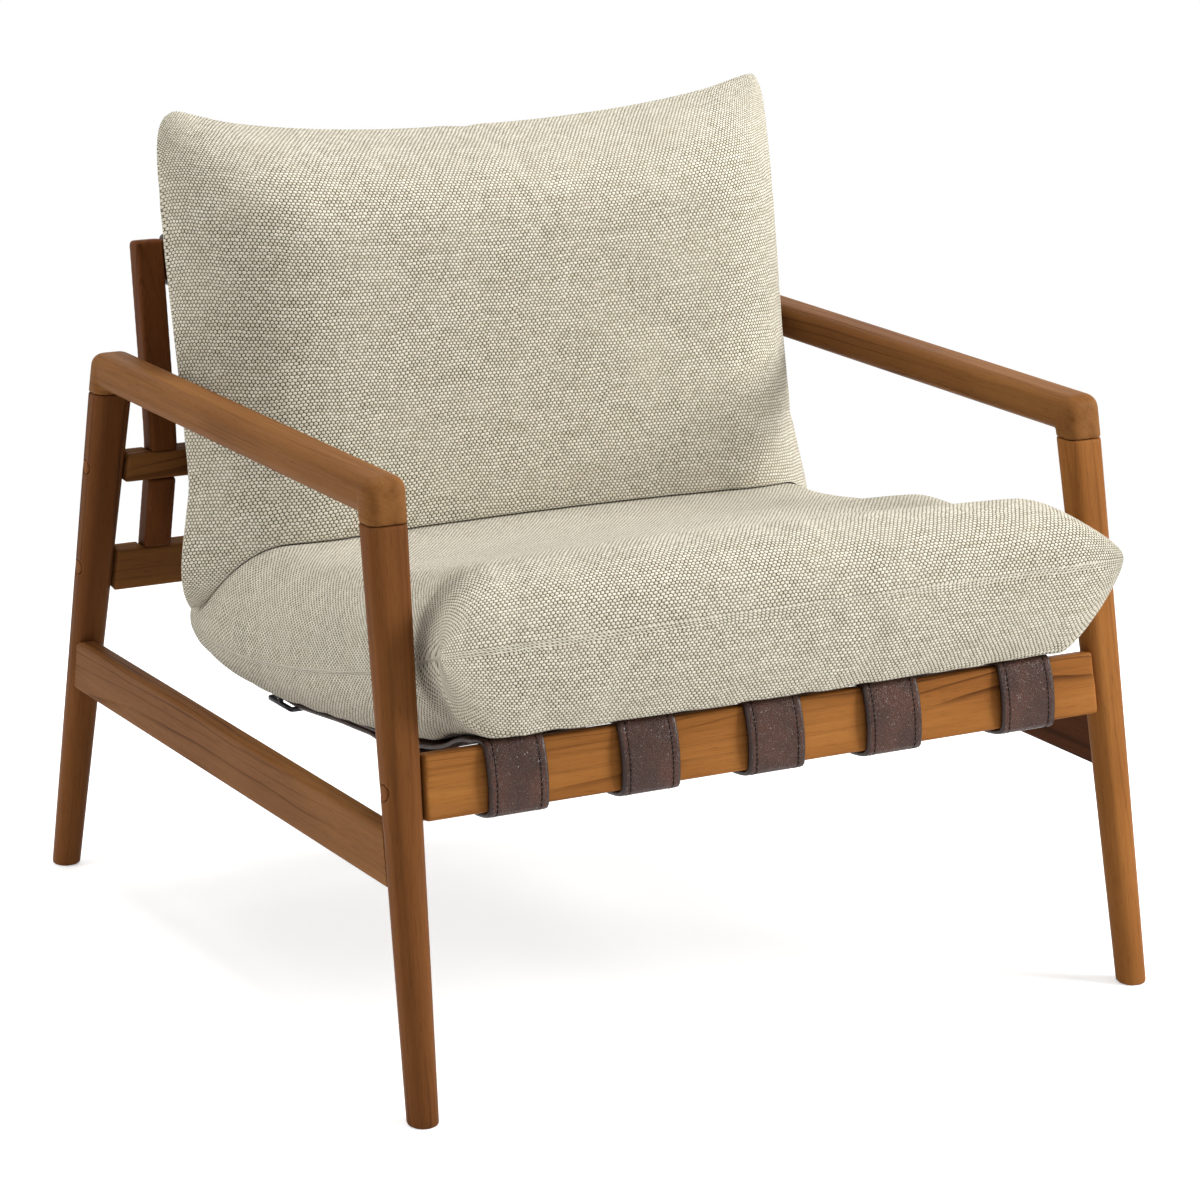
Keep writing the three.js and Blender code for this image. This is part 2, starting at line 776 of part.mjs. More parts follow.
function ribbonCentreline() {
  const wrapRadius = (radius) => radius + ribbonOffset;
  const sewnBack = strapThickness + layerGap;
  const sewnPoint = (distance) => {
    const along = slingCurve.getPointAt(1 - distance / slingCurve.getLength());
    const tangent = slingCurve.getTangentAt(1 - distance / slingCurve.getLength());
    return along.addScaledVector(new THREE.Vector2(tangent.y, -tangent.x), sewnBack);
  };
  const underTopRail = sectionPoint(topBoard, -ribbonOffset + sewnBack,
    topBoard.height + ribbonOffset);
  return roundedPath([
    { at: tailPoint(strapTailLength - buckleStraight) },
    { at: tailPoint(buckleStraight) },
    { at: tailPoint(-buckleStraight), radius: joinRadius },
    ...joinShares.map((share) => ({ at: underSling(share, layerDrop), radius: joinRadius })),
    { at: wrapCorner(frontBoard, 1, 1), radius: wrapRadius(railRadius) },
    { at: wrapCorner(frontBoard, 0, 1), radius: wrapRadius(railRadius) },
    { at: wrapCorner(frontBoard, 0, 0), radius: wrapRadius(railRadius) },
    { at: slingStart, radius: wrapRadius(railRadius) },
    ...slingLine.slice(1).map((at) => ({ at })),
    { at: wrapCorner(topBoard, 0, 0), radius: wrapRadius(topRailRadius) },
    { at: wrapCorner(topBoard, 1, 0), radius: wrapRadius(topRailRadius) },
    { at: wrapCorner(topBoard, 1, 1), radius: wrapRadius(topRailRadius) },
    { at: underTopRail, radius: strapThickness },
    { at: sewnPoint(strapSewnLength / 2) },
    { at: sewnPoint(strapSewnLength) },
  ], arcSteps);
}

function thicken(line, thickness) {
  const offsets = line.map((point, i) => {
    const before = line[Math.max(0, i - 1)];
    const after = line[Math.min(line.length - 1, i + 1)];
    const arriving = point.clone().sub(before).normalize();
    const leaving = after.clone().sub(point).normalize();
    const tangent = arriving.add(leaving).normalize();
    return new THREE.Vector2(-tangent.y, tangent.x).multiplyScalar(thickness / 2);
  });
  const left = line.map((point, i) => point.clone().add(offsets[i]));
  const right = line.map((point, i) => point.clone().sub(offsets[i]));
  return [...left, ...right.reverse()];
}

// Straps lean inward a little on their way back, so that the outer ones pass inside the posts.
const strapRoom = legInnerFace(FRONT, frontRailTop) * 2;
const outermostShare = Math.max(...strapPlaceShares.map(Math.abs));
const outermostBack = postInner - strapToPost - strapWidth / 2;

function strapCentre(placeShare, y) {
  const back = (y - slingStart.x) / (slingEnd.x - slingStart.x);
  return placeShare * THREE.MathUtils.lerp(strapRoom, outermostBack / outermostShare, back);
}

const ribbonLine = ribbonCentreline();
const ribbonOutline = thicken(ribbonLine, strapThickness);

function makeStrap(placeShare) {
  const geometry = extrudeAcross(ribbonOutline, -strapWidth / 2, strapWidth / 2);
  const position = geometry.attributes.position;
  for (let i = 0; i < position.count; i++) {
    position.setX(i, position.getX(i) + strapCentre(placeShare, position.getY(i)));
  }
  return geometry;
}

// Slider buckle: a flat ring under the strap's tail, with a raised bar over the tail

function makeBuckle() {
  const barRise = strapThickness + 2 * clearance + buckleBarThickness;
  const outerWidth = strapWidth + 2 * (buckleSideMargin + buckleBarWidth);
  const ringShape = new THREE.Shape(
    roundedRectangle(outerWidth, buckleLength, buckleRadius, boardCornerSteps),
  );
  ringShape.holes.push(new THREE.Path(roundedRectangle(outerWidth - 2 * buckleBarWidth,
    buckleLength - 2 * buckleBarWidth, buckleRadius / 2, boardCornerSteps)));
  const ring = new THREE.ExtrudeGeometry(ringShape, { depth: buckleBarThickness,
    bevelEnabled: false });
  const yokeShape = new THREE.Shape([
    [-outerWidth / 2, 0],
    [-outerWidth / 2 + buckleBarWidth, 0],
    [-outerWidth / 2 + buckleBarWidth, barRise],
    [outerWidth / 2 - buckleBarWidth, barRise],
    [outerWidth / 2 - buckleBarWidth, 0],
    [outerWidth / 2, 0],
    [outerWidth / 2, barRise + buckleBarThickness],
    [-outerWidth / 2, barRise + buckleBarThickness],
  ].map(([x, z]) => new THREE.Vector2(x, z)));
  const yoke = new THREE.ExtrudeGeometry(yokeShape, { depth: buckleBarWidth,
    bevelEnabled: false });
  yoke.translate(0, 0, -buckleBarWidth / 2).rotateX(Math.PI / 2);
  return geometryFrom(solidFrom(ring).add(solidFrom(yoke)));
}

// Cushions: two crowned sheets that meet at a seam. The grid is finer towards the seam.

const cushionColumns = 24;
const cushionRows = 22;

function gridShare(i, count) {
  return -Math.cos(Math.PI * i / count);
}

// How full a cushion is at a distance from its seam. It leaves the seam at a right angle,
// or with a pinched seam at a slant.
function fullness(distance, rounding, pinched = false) {
  const near = Math.min(1, Math.max(0, distance) / rounding);
  const full = 1 - (1 - near) ** 2;
  return pinched ? full : Math.sqrt(full);
}

// How full it is where two edges meet: a full round corner, not a drawn-out one
function cornerFullness(first, second) {
  const both = first * second;
  return both === 0 ? 0 : both / (first + second - both);
}

function cushion(pointAt) {
  const points = [];
  const index = [];
  const vertex = new Map();
  const vertexAt = (sheet, i, j) => {
    const onSeam = i === 0 || j === 0 || i === cushionColumns || j === cushionRows;
    const key = `${onSeam ? 0 : sheet},${i},${j}`;
    if (!vertex.has(key)) {
      vertex.set(key, points.length);
      const across = gridShare(i, cushionColumns);
      const along = gridShare(j, cushionRows);
      points.push(pointAt(across, along, onSeam ? 0 : sheet));
    }
    return vertex.get(key);
  };
  for (const sheet of [1, -1]) {
    for (let i = 0; i < cushionColumns; i++) {
      for (let j = 0; j < cushionRows; j++) {
        const [a, b] = [vertexAt(sheet, i, j), vertexAt(sheet, i + 1, j)];
        const [c, d] = [vertexAt(sheet, i + 1, j + 1), vertexAt(sheet, i, j + 1)];
        const cornerOnDiagonal = (i < cushionColumns / 2) === (j < cushionRows / 2);
        const quad = cornerOnDiagonal ? [a, b, c, a, c, d] : [a, b, d, b, c, d];
        index.push(...(sheet > 0 ? quad : quad.reverse()));
      }
    }
  }
  return closedGeometry(points, index);
}

// The foot of the back cushion's seam, set so that its rear side meets the top of the sling
const backRecline = THREE.MathUtils.degToRad(backReclineDegrees);
const backUp = new THREE.Vector2(Math.sin(backRecline), Math.cos(backRecline));
const backBase = new THREE.Vector2(0, slingLow + backBaseOverSling);
backBase.x = slingFrontAt(slingEnd.y) - backSlingGap - backRearCrown
  - (slingEnd.y - backBase.y) * backUp.x / backUp.y;

// Seat cushion: from a little in front of the rail to just behind the back cushion's foot
const seatWidth = 2 * (armrestInside - seatSideMargin);
const seatFront = frontBoard.corner.x - seatOverhang;
const seatLength = backBase.x + seatBehindBack - seatFront;
const seatSeamShares = [
  [0, 1], [0.178, 0.643], [0.285, 0.469], [0.475, 0.2245], [0.695, 0.02], [0.85, -0.04], [1, 0],
];
const seatSeamLine = new THREE.SplineCurve(seatSeamShares.map(([alongShare, riseShare]) => (
  new THREE.Vector2(
    seatFront + alongShare * seatLength,
    THREE.MathUtils.lerp(slingLow + seatSeamOverSling, frontRailTop + seatSeamOverRail, riseShare),
  )
)));
const seatFlarePower = 12;
const seatSquareness = 12;
const seatCornerCutShare = 0.03;
const seatCrownDropShare = 0.1;

function seatPoint(across, along, sheet) {
  const flare = along < 0 ? seatCornerFlare * Math.abs(along) ** seatFlarePower : 0;
  const cornerCut = seatCornerCutShare * Math.abs(along) ** seatSquareness;
  const rearCut = along > 0 ? cornerCut : 0;
  const x = across * (seatWidth / 2 + flare) * (1 - rearCut);
  const alongShare = (along + 1) / 2;
  const y = seatFront + alongShare * seatLength;
  const seam = seatSeamLine.getPoint(seamParameter(seatSeamLine, y)).y;
  const sideFullness = fullness((1 - Math.abs(across)) * seatWidth / 2, seatSideRounding);
  const frontFullness = fullness(alongShare * seatLength,
    sheet > 0 ? seatFrontRounding : seatUnderRounding);
  const rearFullness = fullness((1 - alongShare) * seatLength,
    sheet > 0 ? seatRearRounding : seatUnderRounding);
  const full = cornerFullness(sideFullness, frontFullness * rearFullness)
    * (1 - seatCrownDropShare * across ** 2);
  const crown = THREE.MathUtils.lerp(seatFrontCrown, seatRearCrown, alongShare);
  if (sheet > 0) return new THREE.Vector3(x, y, seam + crown * full);
  const belly = THREE.MathUtils.lerp(seatFrontBelly, seatRearBelly, alongShare);
  const free = seam - belly * full;
  const rest = Math.max(...[-1, 0, 1].map((step) => restAt(y + step * seatRestReach)));
  return new THREE.Vector3(x, y, sheet < 0 ? Math.min(seam, Math.max(free, rest)) : seam);
}

// The lowest place that the seat cushion may take over the front rail and the sling
function restAt(y) {
  if (y < frontBoard.corner.x - 2 * strapThickness) return 0;
  if (y < slingStart.x) return frontRailTop + strapThickness + clearance + cushionGap;
  return slingTopAt(y) + cushionGap;
}

// The parameter of a curve whose x grows steadily, at a given x
function seamParameter(curve, x) {
  let [low, high] = [0, 1];
  const halvings = 22;
  for (let i = 0; i < halvings; i++) {
    const middle = (low + high) / 2;
    if (curve.getPoint(middle).x < x) low = middle;
    else high = middle;
  }
  return (low + high) / 2;
}

// Back cushion: stands on the seat cushion and leans on the sling
const backWidth = 2 * (armrestInside - backSideMargin);
const backForward = new THREE.Vector2(-backUp.y, backUp.x);
const backSquareness = 14;
const backCornerCutShare = 0.03;
const backCrownDropShare = 0.08;
const backBulgeShare = 0.55;

function backPoint(across, along, sheet) {
  const draw = backSideDraw * (1 - along ** 2);
  const narrowing = along > 0 ? backCornerNarrowing * along ** 2 : 0;
  const underArms = THREE.MathUtils.clamp((along + 1) / backBulgeShare, 0, 1);
  const bulge = backLowBulge * Math.cos(Math.PI / 2 * underArms);
  const cornerCut = backCornerCutShare * Math.abs(along) ** backSquareness;
  const x = across * ((backWidth / 2 - draw - narrowing + bulge) * (1 - cornerCut));
  const edgeDraw = (along > 0 ? backTopDraw : -backBottomDraw) * along ** 2 * (1 - across ** 2);
  const rise = (along + 1) / 2 * backHeight - edgeDraw;
  const seam = backBase.clone().addScaledVector(backUp, rise);
  const toEnd = (1 - Math.abs(along)) * backHeight / 2;
  const sideFullness = fullness((1 - Math.abs(across)) * backWidth / 2, backEdgeRounding, true);
  const full = (1 - backCrownDropShare * across ** 2) * (along > 0
    ? sideFullness * fullness(toEnd, backEdgeRounding, true)
    : cornerFullness(sideFullness, fullness(toEnd, backBottomRounding)));
  if (sheet >= 0) {
    const front = seam.addScaledVector(backForward, sheet * backFrontCrown * full);
    return new THREE.Vector3(x, front.x, front.y);
  }
  const back = seam.clone().addScaledVector(backForward, -backRearCrown * full);
  const limit = slingFrontAt(back.y) - cushionGap;
  return new THREE.Vector3(x, Math.max(seam.x, Math.min(back.x, limit)), back.y);
}

// Assembly

const woodRoughness = 0.5;
const legs = {};

for (const [name, side] of sides) {
  for (const [endName, end] of [['front', FRONT], ['rear', REAR]]) {
    const blank = legBlank(side, end);
    const joints = boltedJoints.filter((joint) => joint.board.end === end);
    let leg = blank
      .subtract(armrestTenon(side, end, clearance))
      .subtract(sideRailTenon(side, end, clearance));
    for (const joint of joints) {
      leg = leg.subtract(legBoltHole(joint, side));
      const jointName = `${joint.name}_${name}`;
      addPiece(`plug_${jointName}`, geometryFrom(makePlug(joint, side, blank)), plugColour, 0.5);
      addPiece(`bolt_${jointName}`, geometryFrom(makeBolt(joint, side)), steelColour, 0.35, 0.9);
      addPiece(`barrel_nut_${jointName}`, geometryFrom(makeBarrelNut(joint, side)),
        steelColour, 0.4, 0.9);
    }
    legs[`${endName}_leg_${name}`] = leg;
    addPiece(`armrest_tenon_${endName}_${name}`, geometryFrom(armrestTenon(side, end)),
      plugColour, 0.6);
    addPiece(`side_rail_tenon_${endName}_${name}`, geometryFrom(sideRailTenon(side, end)),
      plugColour, 0.6);
  }
  addPiece(`armrest_${name}`, geometryFrom(makeArmrest(side)), woodColour, woodRoughness);
  addPiece(`side_rail_${name}`, geometryFrom(makeSideRail(side)), woodColour, woodRoughness);
  addPiece(`back_post_${name}`, geometryFrom(makePost(side)), woodColour, woodRoughness);
  addPiece(`top_rail_tenon_${name}`, geometryFrom(topRailTenon(side)), plugColour, 0.6);
}

for (const [name, leg] of Object.entries(legs)) {
  addPiece(name, geometryFrom(leg), woodColour, woodRoughness);
}

const railNames = new Map([
  ['front_rail', frontBoard], ['upper_back_rail', upperBoard], ['lower_back_rail', lowerBoard],
]);
for (const [name, board] of railNames) {
  let rail = boardBetweenLegs(board);
  for (const [, side] of sides) {
    for (const joint of boltedJoints.filter((candidate) => candidate.board === board)) {
      rail = rail.subtract(railBoltHole(joint, side));
    }
    if (board.end === REAR) rail = cutLap(rail, board, side);
  }
  addPiece(name, geometryFrom(rail), woodColour, woodRoughness);
}
addPiece('top_rail', geometryFrom(makeTopRail()), woodColour, woodRoughness);

const buckleFrame = tailPoint(0).addScaledVector(
  new THREE.Vector2(-tailSlope.y, tailSlope.x),
  -strapThickness / 2 - clearance - buckleBarThickness,
);
strapPlaceShares.forEach((placeShare, i) => {
  addPiece(`strap_${i + 1}`, makeStrap(placeShare), leatherColour, 0.45);
  const buckle = addPiece(`buckle_${i + 1}`, makeBuckle(), metalColour, 0.3, 0.8);
  buckle.rotation.x = Math.atan2(tailSlope.y, tailSlope.x);
  buckle.position.set(strapCentre(placeShare, buckleFrame.x), buckleFrame.x, buckleFrame.y);
});

const seatGeometry = cushion(seatPoint);
addPiece('seat_cushion', seatGeometry, fabricColour, 0.95);

const seatRoom = solidFrom(seatGeometry.clone().translate(0, 0, cushionGap));
addPiece('back_cushion', geometryFrom(solidFrom(cushion(backPoint)).subtract(seatRoom)),
  fabricColour, 0.95);

export default chair;
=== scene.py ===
import math

import bmesh
import bpy
import numpy as np
from mathutils import Matrix, Vector
from mathutils.bvhtree import BVHTree


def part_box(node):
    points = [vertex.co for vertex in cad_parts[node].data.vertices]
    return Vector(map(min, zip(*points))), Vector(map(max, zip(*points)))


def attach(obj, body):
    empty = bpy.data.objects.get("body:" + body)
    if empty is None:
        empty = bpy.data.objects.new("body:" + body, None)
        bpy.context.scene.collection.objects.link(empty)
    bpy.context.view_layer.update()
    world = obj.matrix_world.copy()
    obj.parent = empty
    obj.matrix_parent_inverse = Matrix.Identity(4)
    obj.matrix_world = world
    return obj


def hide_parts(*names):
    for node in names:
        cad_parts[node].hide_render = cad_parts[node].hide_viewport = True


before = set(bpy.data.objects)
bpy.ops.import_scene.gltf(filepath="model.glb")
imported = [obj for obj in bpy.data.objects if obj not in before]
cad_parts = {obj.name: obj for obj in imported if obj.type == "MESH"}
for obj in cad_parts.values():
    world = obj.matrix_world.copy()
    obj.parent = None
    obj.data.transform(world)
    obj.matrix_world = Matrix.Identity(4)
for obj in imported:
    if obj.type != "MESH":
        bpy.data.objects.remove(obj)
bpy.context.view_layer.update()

# Lengths are in metres and angles in radians. A pair of values is for the left and the right.
MM = 0.001
WHITE = (1, 1, 1, 1)

# Camera, with its lens and sensor in the millimetres that the camera takes
CAMERA_EYE = Vector((-1.7993, -3.17735, 1.2912))
CAMERA_AZIMUTH = math.radians(-29.777)
CAMERA_ELEVATION = math.radians(15.086)
CAMERA_ROLL = math.radians(0.646)
CAMERA_LENS = 124.95
CAMERA_SENSOR = 36

# Floor and lamps; each lamp has its place, its diameter and its watts
FLOOR_HALF = 9
FLOOR_GLOW = 0.5
FLOOR_SHADOW_REACH = 0.9
LAMP_TARGET = Vector((0, 0, 0.4))
LAMPS = {
    "key": (Vector((3.0, -2.1, 2.0)), 1.8, 165),
    "side": (Vector((-3.4, 0.8, 1.7)), 1.8, 48),
    "top": (Vector((0.2, 0.2, 3.8)), 2.4, 78),
}
WORLD_STRENGTH = 0.4

# Wood
WOOD_VOXEL = 1.6 * MM
PLUG_VOXEL = 0.7 * MM
WOOD_SMOOTHING = 5
RINGS_PER_METRE = 120
RING_WANDER = 60 * MM
RING_RIPPLE = 5 * MM
PLUG_SEED = 100

# Straps and their stitches
STRAP_NUMBERS = range(1, 6)
MIDDLE_STRAP = 2
STRAP_WIDTH = 56 * MM
STRAP_THICKNESS = 4.5 * MM
STRAP_STEP = 3 * MM
STRAP_EDGE_STEPS = 7
EDGE_DARKENING_START = STRAP_WIDTH / 2 - 4 * MM
EDGE_DARKENING_END = STRAP_WIDTH / 2 - 2 * MM
STITCH_INSET = 7.5 * MM
STITCH_LENGTH = 3.4 * MM
STITCH_PITCH = 4.2 * MM
STITCH_RADIUS = 0.36 * MM
STITCH_END_SHARE = 0.04
STITCH_SLANT = 0.25 * MM
STITCH_LIFT = 0.15 * MM
STITCH_ARCH = 0.2 * MM
STITCH_START = 5 * MM
STITCH_BARE_RUN = 8 * MM
STITCH_RINGS = 5
STITCH_SIDES = 6
GROOVE_PLACE = STRAP_WIDTH / 2 - STITCH_INSET
GROOVE_DEPTH = 0.4 * MM
GROOVE_SPREAD = 1 * MM
GROOVE_OFFSETS = [-2.2 * MM, -1.1 * MM, 0, 1.1 * MM, 2.2 * MM]
BUCKLE_ROUNDING = 0.9 * MM

# Cloth of both cushions
CUSHION_COLUMNS = 150
CUSHION_ROWS = 120
CUSHION_CAP = 16 * MM
CLOTH_FRAMES = 20
CLOTH_SETTINGS = {
    "quality": 5, "mass": 0.3, "use_pressure": True, "uniform_pressure_force": 4,
    "tension_stiffness": 15, "compression_stiffness": 15, "shear_stiffness": 5,
    "bending_stiffness": 0.5,
}
FOLD_ROUNDS = 60
FOLD_SHARE = 0.45
CUSHION_GAP = 1.5 * MM
WARP_PITCH = 2.0 * MM
WEFT_PITCH = 2.7 * MM

# Seat cushion: outline, seam in side view, and edges
SEAT_LOW, SEAT_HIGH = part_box("seat_cushion")
SEAT_FRONT = SEAT_LOW.y
SEAT_LENGTH = SEAT_HIGH.y - SEAT_LOW.y
SEAT_HALF = 320.5 * MM
SEAT_SEAM_LOW = 287 * MM
SEAT_SEAM_HIGH = 387.9 * MM
SEAT_SEAM_SHARES = [
    [0, 1], [0.178, 0.643], [0.285, 0.469], [0.475, 0.2245], [0.695, 0.02], [0.85, -0.04], [1, 0],
]
SPLINE_STEPS = 400
SEAT_FLARES = (10 * MM, 19 * MM)
SEAT_REAR_CUT = 0.03
SEAT_CORNER_POWER = 12
SEAT_TOP_ROUNDINGS = {"front": 88 * MM, "rear": 110 * MM, "sides": (58 * MM, 58 * MM)}
SEAT_UNDER_ROUNDINGS = {"front": 27 * MM, "rear": 27 * MM, "sides": (84 * MM, 44 * MM)}
SEAT_SIDE_FALL = 0.1

# Seat cushion: height above and depth below the seam, front to rear, and the dented top
SEAT_CROWN = 82 * MM
SEAT_CROWN_GAIN = 15 * MM
SEAT_BELLY = 90 * MM
SEAT_BELLY_LOSS = 44 * MM
SEAT_HUMP_HEIGHT, SEAT_HUMP_SHARE, SEAT_HUMP_SPREAD = 7 * MM, 0.405, 0.065
SEAT_DENT_DEPTH, SEAT_DENT_SHARE, SEAT_DENT_SPREAD = 12 * MM, 0.21, 0.08
SEAT_DENT_START = -0.2
SEAT_DENT_END = 0.6

# What the seat cushion rests on: the front rail's leather, then the sling
RAIL_REST_FRONT = -338 * MM
RAIL_REST_BACK = -309.5 * MM
RAIL_REST_HEIGHT = 302.6 * MM
REST_CLEARANCE = 0.4 * MM
REST_WIDENING = 9 * MM
REST_OVERRUN = 20 * MM
REST_STEPS = 240
BELLY_SAG = 1 * MM
BELLY_REACH = 14 * MM

# Back cushion, in its own leaning plane: sides
BACK_TILT = math.radians(10)
BACK_BASE = np.array([138.35 * MM, 306 * MM])
BACK_HALF = 320 * MM
BACK_HEIGHT = 437 * MM
BACK_WAIST = 3 * MM
BACK_NARROWING = 7 * MM
BACK_BULGE = 16 * MM
BACK_BULGE_SHARE = 0.55
BACK_BULGE_POWER = 1.5
BACK_END_CUT = 0.03
BACK_END_POWER = 14
BACK_CORNER_CUTS = (0.03, 0.008)
BACK_CORNER_CUT_POWER = 24
BACK_TOP_SPREADS = (0.01, 0.024)
BACK_LEAN_LEFT = 5 * MM
BACK_LEAN_START = -0.4

# Back cushion: ends, corners and thickness
BACK_TOP_SAG = 24 * MM
BACK_FOOT_SAG = 14 * MM
BACK_CORNER_RISES = (14 * MM, 9.5 * MM)
BACK_CORNER_RISE_POWER = 6
BACK_CORNER_DROPS = (9 * MM, 5 * MM)
BACK_CORNER_DROP_POWER = 30
BACK_SEAM_CROWDING = 0.75
BACK_EDGE_ROUNDING = 132 * MM
BACK_FOOT_ROUNDING = 60 * MM
BACK_CORNER_SOFTNESS = 0.55
BACK_SIDE_FALL = 0.08
BACK_CROWN = 95 * MM
BACK_BELLY = 99 * MM

# What the back cushion leans on: the sling, then a plane above the top rail
LEAN_LOWEST = 260 * MM
LEAN_HIGHEST = 760 * MM
LEAN_STEPS = 260
LEAN_SLING_START = 50 * MM
LEAN_WITHOUT_SLING = 310 * MM
LEAN_TOP_DROP = 12 * MM
LEAN_TOP_SLOPE = 0.144
LEAN_CLEARANCE = 0.6 * MM


# Camera and lamps

def make_camera():
    back = Vector((
        math.sin(CAMERA_AZIMUTH) * math.cos(CAMERA_ELEVATION),
        -math.cos(CAMERA_AZIMUTH) * math.cos(CAMERA_ELEVATION),
        math.sin(CAMERA_ELEVATION),
    ))
    level_right = Vector((0, 0, 1)).cross(back).normalized()
    level_up = back.cross(level_right)
    right = level_right * math.cos(CAMERA_ROLL) + level_up * math.sin(CAMERA_ROLL)
    up = level_up * math.cos(CAMERA_ROLL) - level_right * math.sin(CAMERA_ROLL)
    turn = Matrix((right, up, back)).transposed().to_4x4()
    data = bpy.data.cameras.new("camera")
    data.lens = CAMERA_LENS
    data.sensor_width = CAMERA_SENSOR
    camera = bpy.data.objects.new("camera", data)
    camera.matrix_world = Matrix.Translation(CAMERA_EYE) @ turn
    bpy.context.scene.collection.objects.link(camera)
    bpy.context.scene.camera = camera
    bpy.context.scene.view_settings.view_transform = "Standard"


def area_light(name, place, size, watts):
    data = bpy.data.lights.new(name, "AREA")
    data.shape = "DISK"
    data.size = size
    data.energy = watts
    lamp = bpy.data.objects.new(name, data)
    lamp.location = place
    lamp.rotation_euler = (place - LAMP_TARGET).to_track_quat("Z", "Y").to_euler()
    bpy.context.scene.collection.objects.link(lamp)


def rgb(red, green, blue):
    """A screen colour, 0 to 255, as linear light."""
    def linear(value):
        share = value / 255
        return share / 12.92 if share <= 0.04045 else ((share + 0.055) / 1.055) ** 2.4
    return (linear(red), linear(green), linear(blue), 1)


# Shader nodes

class Field:
    """A shader socket that is added, multiplied and compared like a number."""

    def __init__(self, nodes, socket):
        self.nodes = nodes
        self.socket = socket

    def maths(self, operation, *others):
        return self.nodes.maths(operation, self, *others)

    def __add__(self, other):
        return self.maths("ADD", other)

    __radd__ = __add__

    def __sub__(self, other):
        return self.maths("SUBTRACT", other)

    def __rsub__(self, other):
        return self.nodes.maths("SUBTRACT", other, self)

    def __mul__(self, other):
        return self.maths("MULTIPLY", other)

    __rmul__ = __mul__

    def __truediv__(self, other):
        return self.maths("DIVIDE", other)

    def __rtruediv__(self, other):
        return self.nodes.maths("DIVIDE", other, self)

    def __pow__(self, other):
        return self.maths("POWER", other)

    def __abs__(self):
        return self.maths("ABSOLUTE")

    def above(self, least):
        return self.maths("MAXIMUM", least)

    def split(self):
        node = self.nodes.add("ShaderNodeSeparateXYZ", {}, [self])
        return [Field(self.nodes, output) for output in node.outputs]

    def between(self, low, high, to_low=0, to_high=1):
        """Smoothly from to_low to to_high while this goes from low to high."""
        return self.nodes.node("ShaderNodeMapRange", {"interpolation_type": "SMOOTHSTEP"},
                               [self, low, high, to_low, to_high])


class Nodes:
    """The nodes of a material or of the world."""

    def __init__(self, tree):
        self.tree = tree

    def add(self, kind, settings, inputs):
        node = self.tree.nodes.new(kind)
        for key, value in settings.items():
            setattr(node, key, value)
        pairs = inputs.items() if isinstance(inputs, dict) else enumerate(inputs)
        for key, value in pairs:
            self.plug(value, node.inputs[key])
        return node

    def plug(self, value, socket):
        if isinstance(value, Field):
            self.tree.links.new(value.socket, socket)
        else:
            socket.default_value = value

    def node(self, kind, settings, inputs, output=0):
        return Field(self, self.add(kind, settings, inputs).outputs[output])

    def maths(self, operation, *values):
        return self.node("ShaderNodeMath", {"operation": operation}, list(values))

    def attribute(self, name):
        return self.node("ShaderNodeAttribute", {"attribute_name": name}, {}, "Vector")

    def place(self):
        return self.node("ShaderNodeTexCoord", {}, {}, "Object")

    def join(self, x, y, z):
        return self.node("ShaderNodeCombineXYZ", {}, [x, y, z])

    def noise(self, vector, scale, detail=2, roughness=0.5):
        return self.node("ShaderNodeTexNoise", {},
                         {"Vector": vector, "Scale": scale, "Detail": detail,
                          "Roughness": roughness}, "Fac")

    def cells(self, vector, scale):
        """How far a place is from the edge of its cell."""
        return self.node("ShaderNodeTexVoronoi", {"feature": "DISTANCE_TO_EDGE"},
                         {"Vector": vector, "Scale": scale}, "Distance")

    def mix(self, factor, first, second):
        return self.node("ShaderNodeMix", {"data_type": "RGBA"},
                         {0: factor, 6: first, 7: second}, 2)

    def bump(self, height, distance, strength=1):
        return self.node("ShaderNodeBump", {},
                         {"Height": height, "Distance": distance, "Strength": strength}, "Normal")

    def seen_directly(self):
        """1 for what the camera or a reflection sees, 0 for light that falls on things."""
        path = self.add("ShaderNodeLightPath", {}, {})
        to_camera = Field(self, path.outputs["Is Camera Ray"])
        return to_camera.above(Field(self, path.outputs["Is Glossy Ray"]))


class Sheet(Nodes):
    """One material's nodes and the shader that they feed."""

    def __init__(self, name):
        self.material = bpy.data.materials.new(name)
        self.material.use_nodes = True
        super().__init__(self.material.node_tree)
        self.shader = self.tree.nodes["Principled BSDF"]

    def feed(self, **values):
        for key, value in values.items():
            self.plug(value, self.shader.inputs[key.replace("_", " ")])


# Finishes; noise scales are cycles per metre

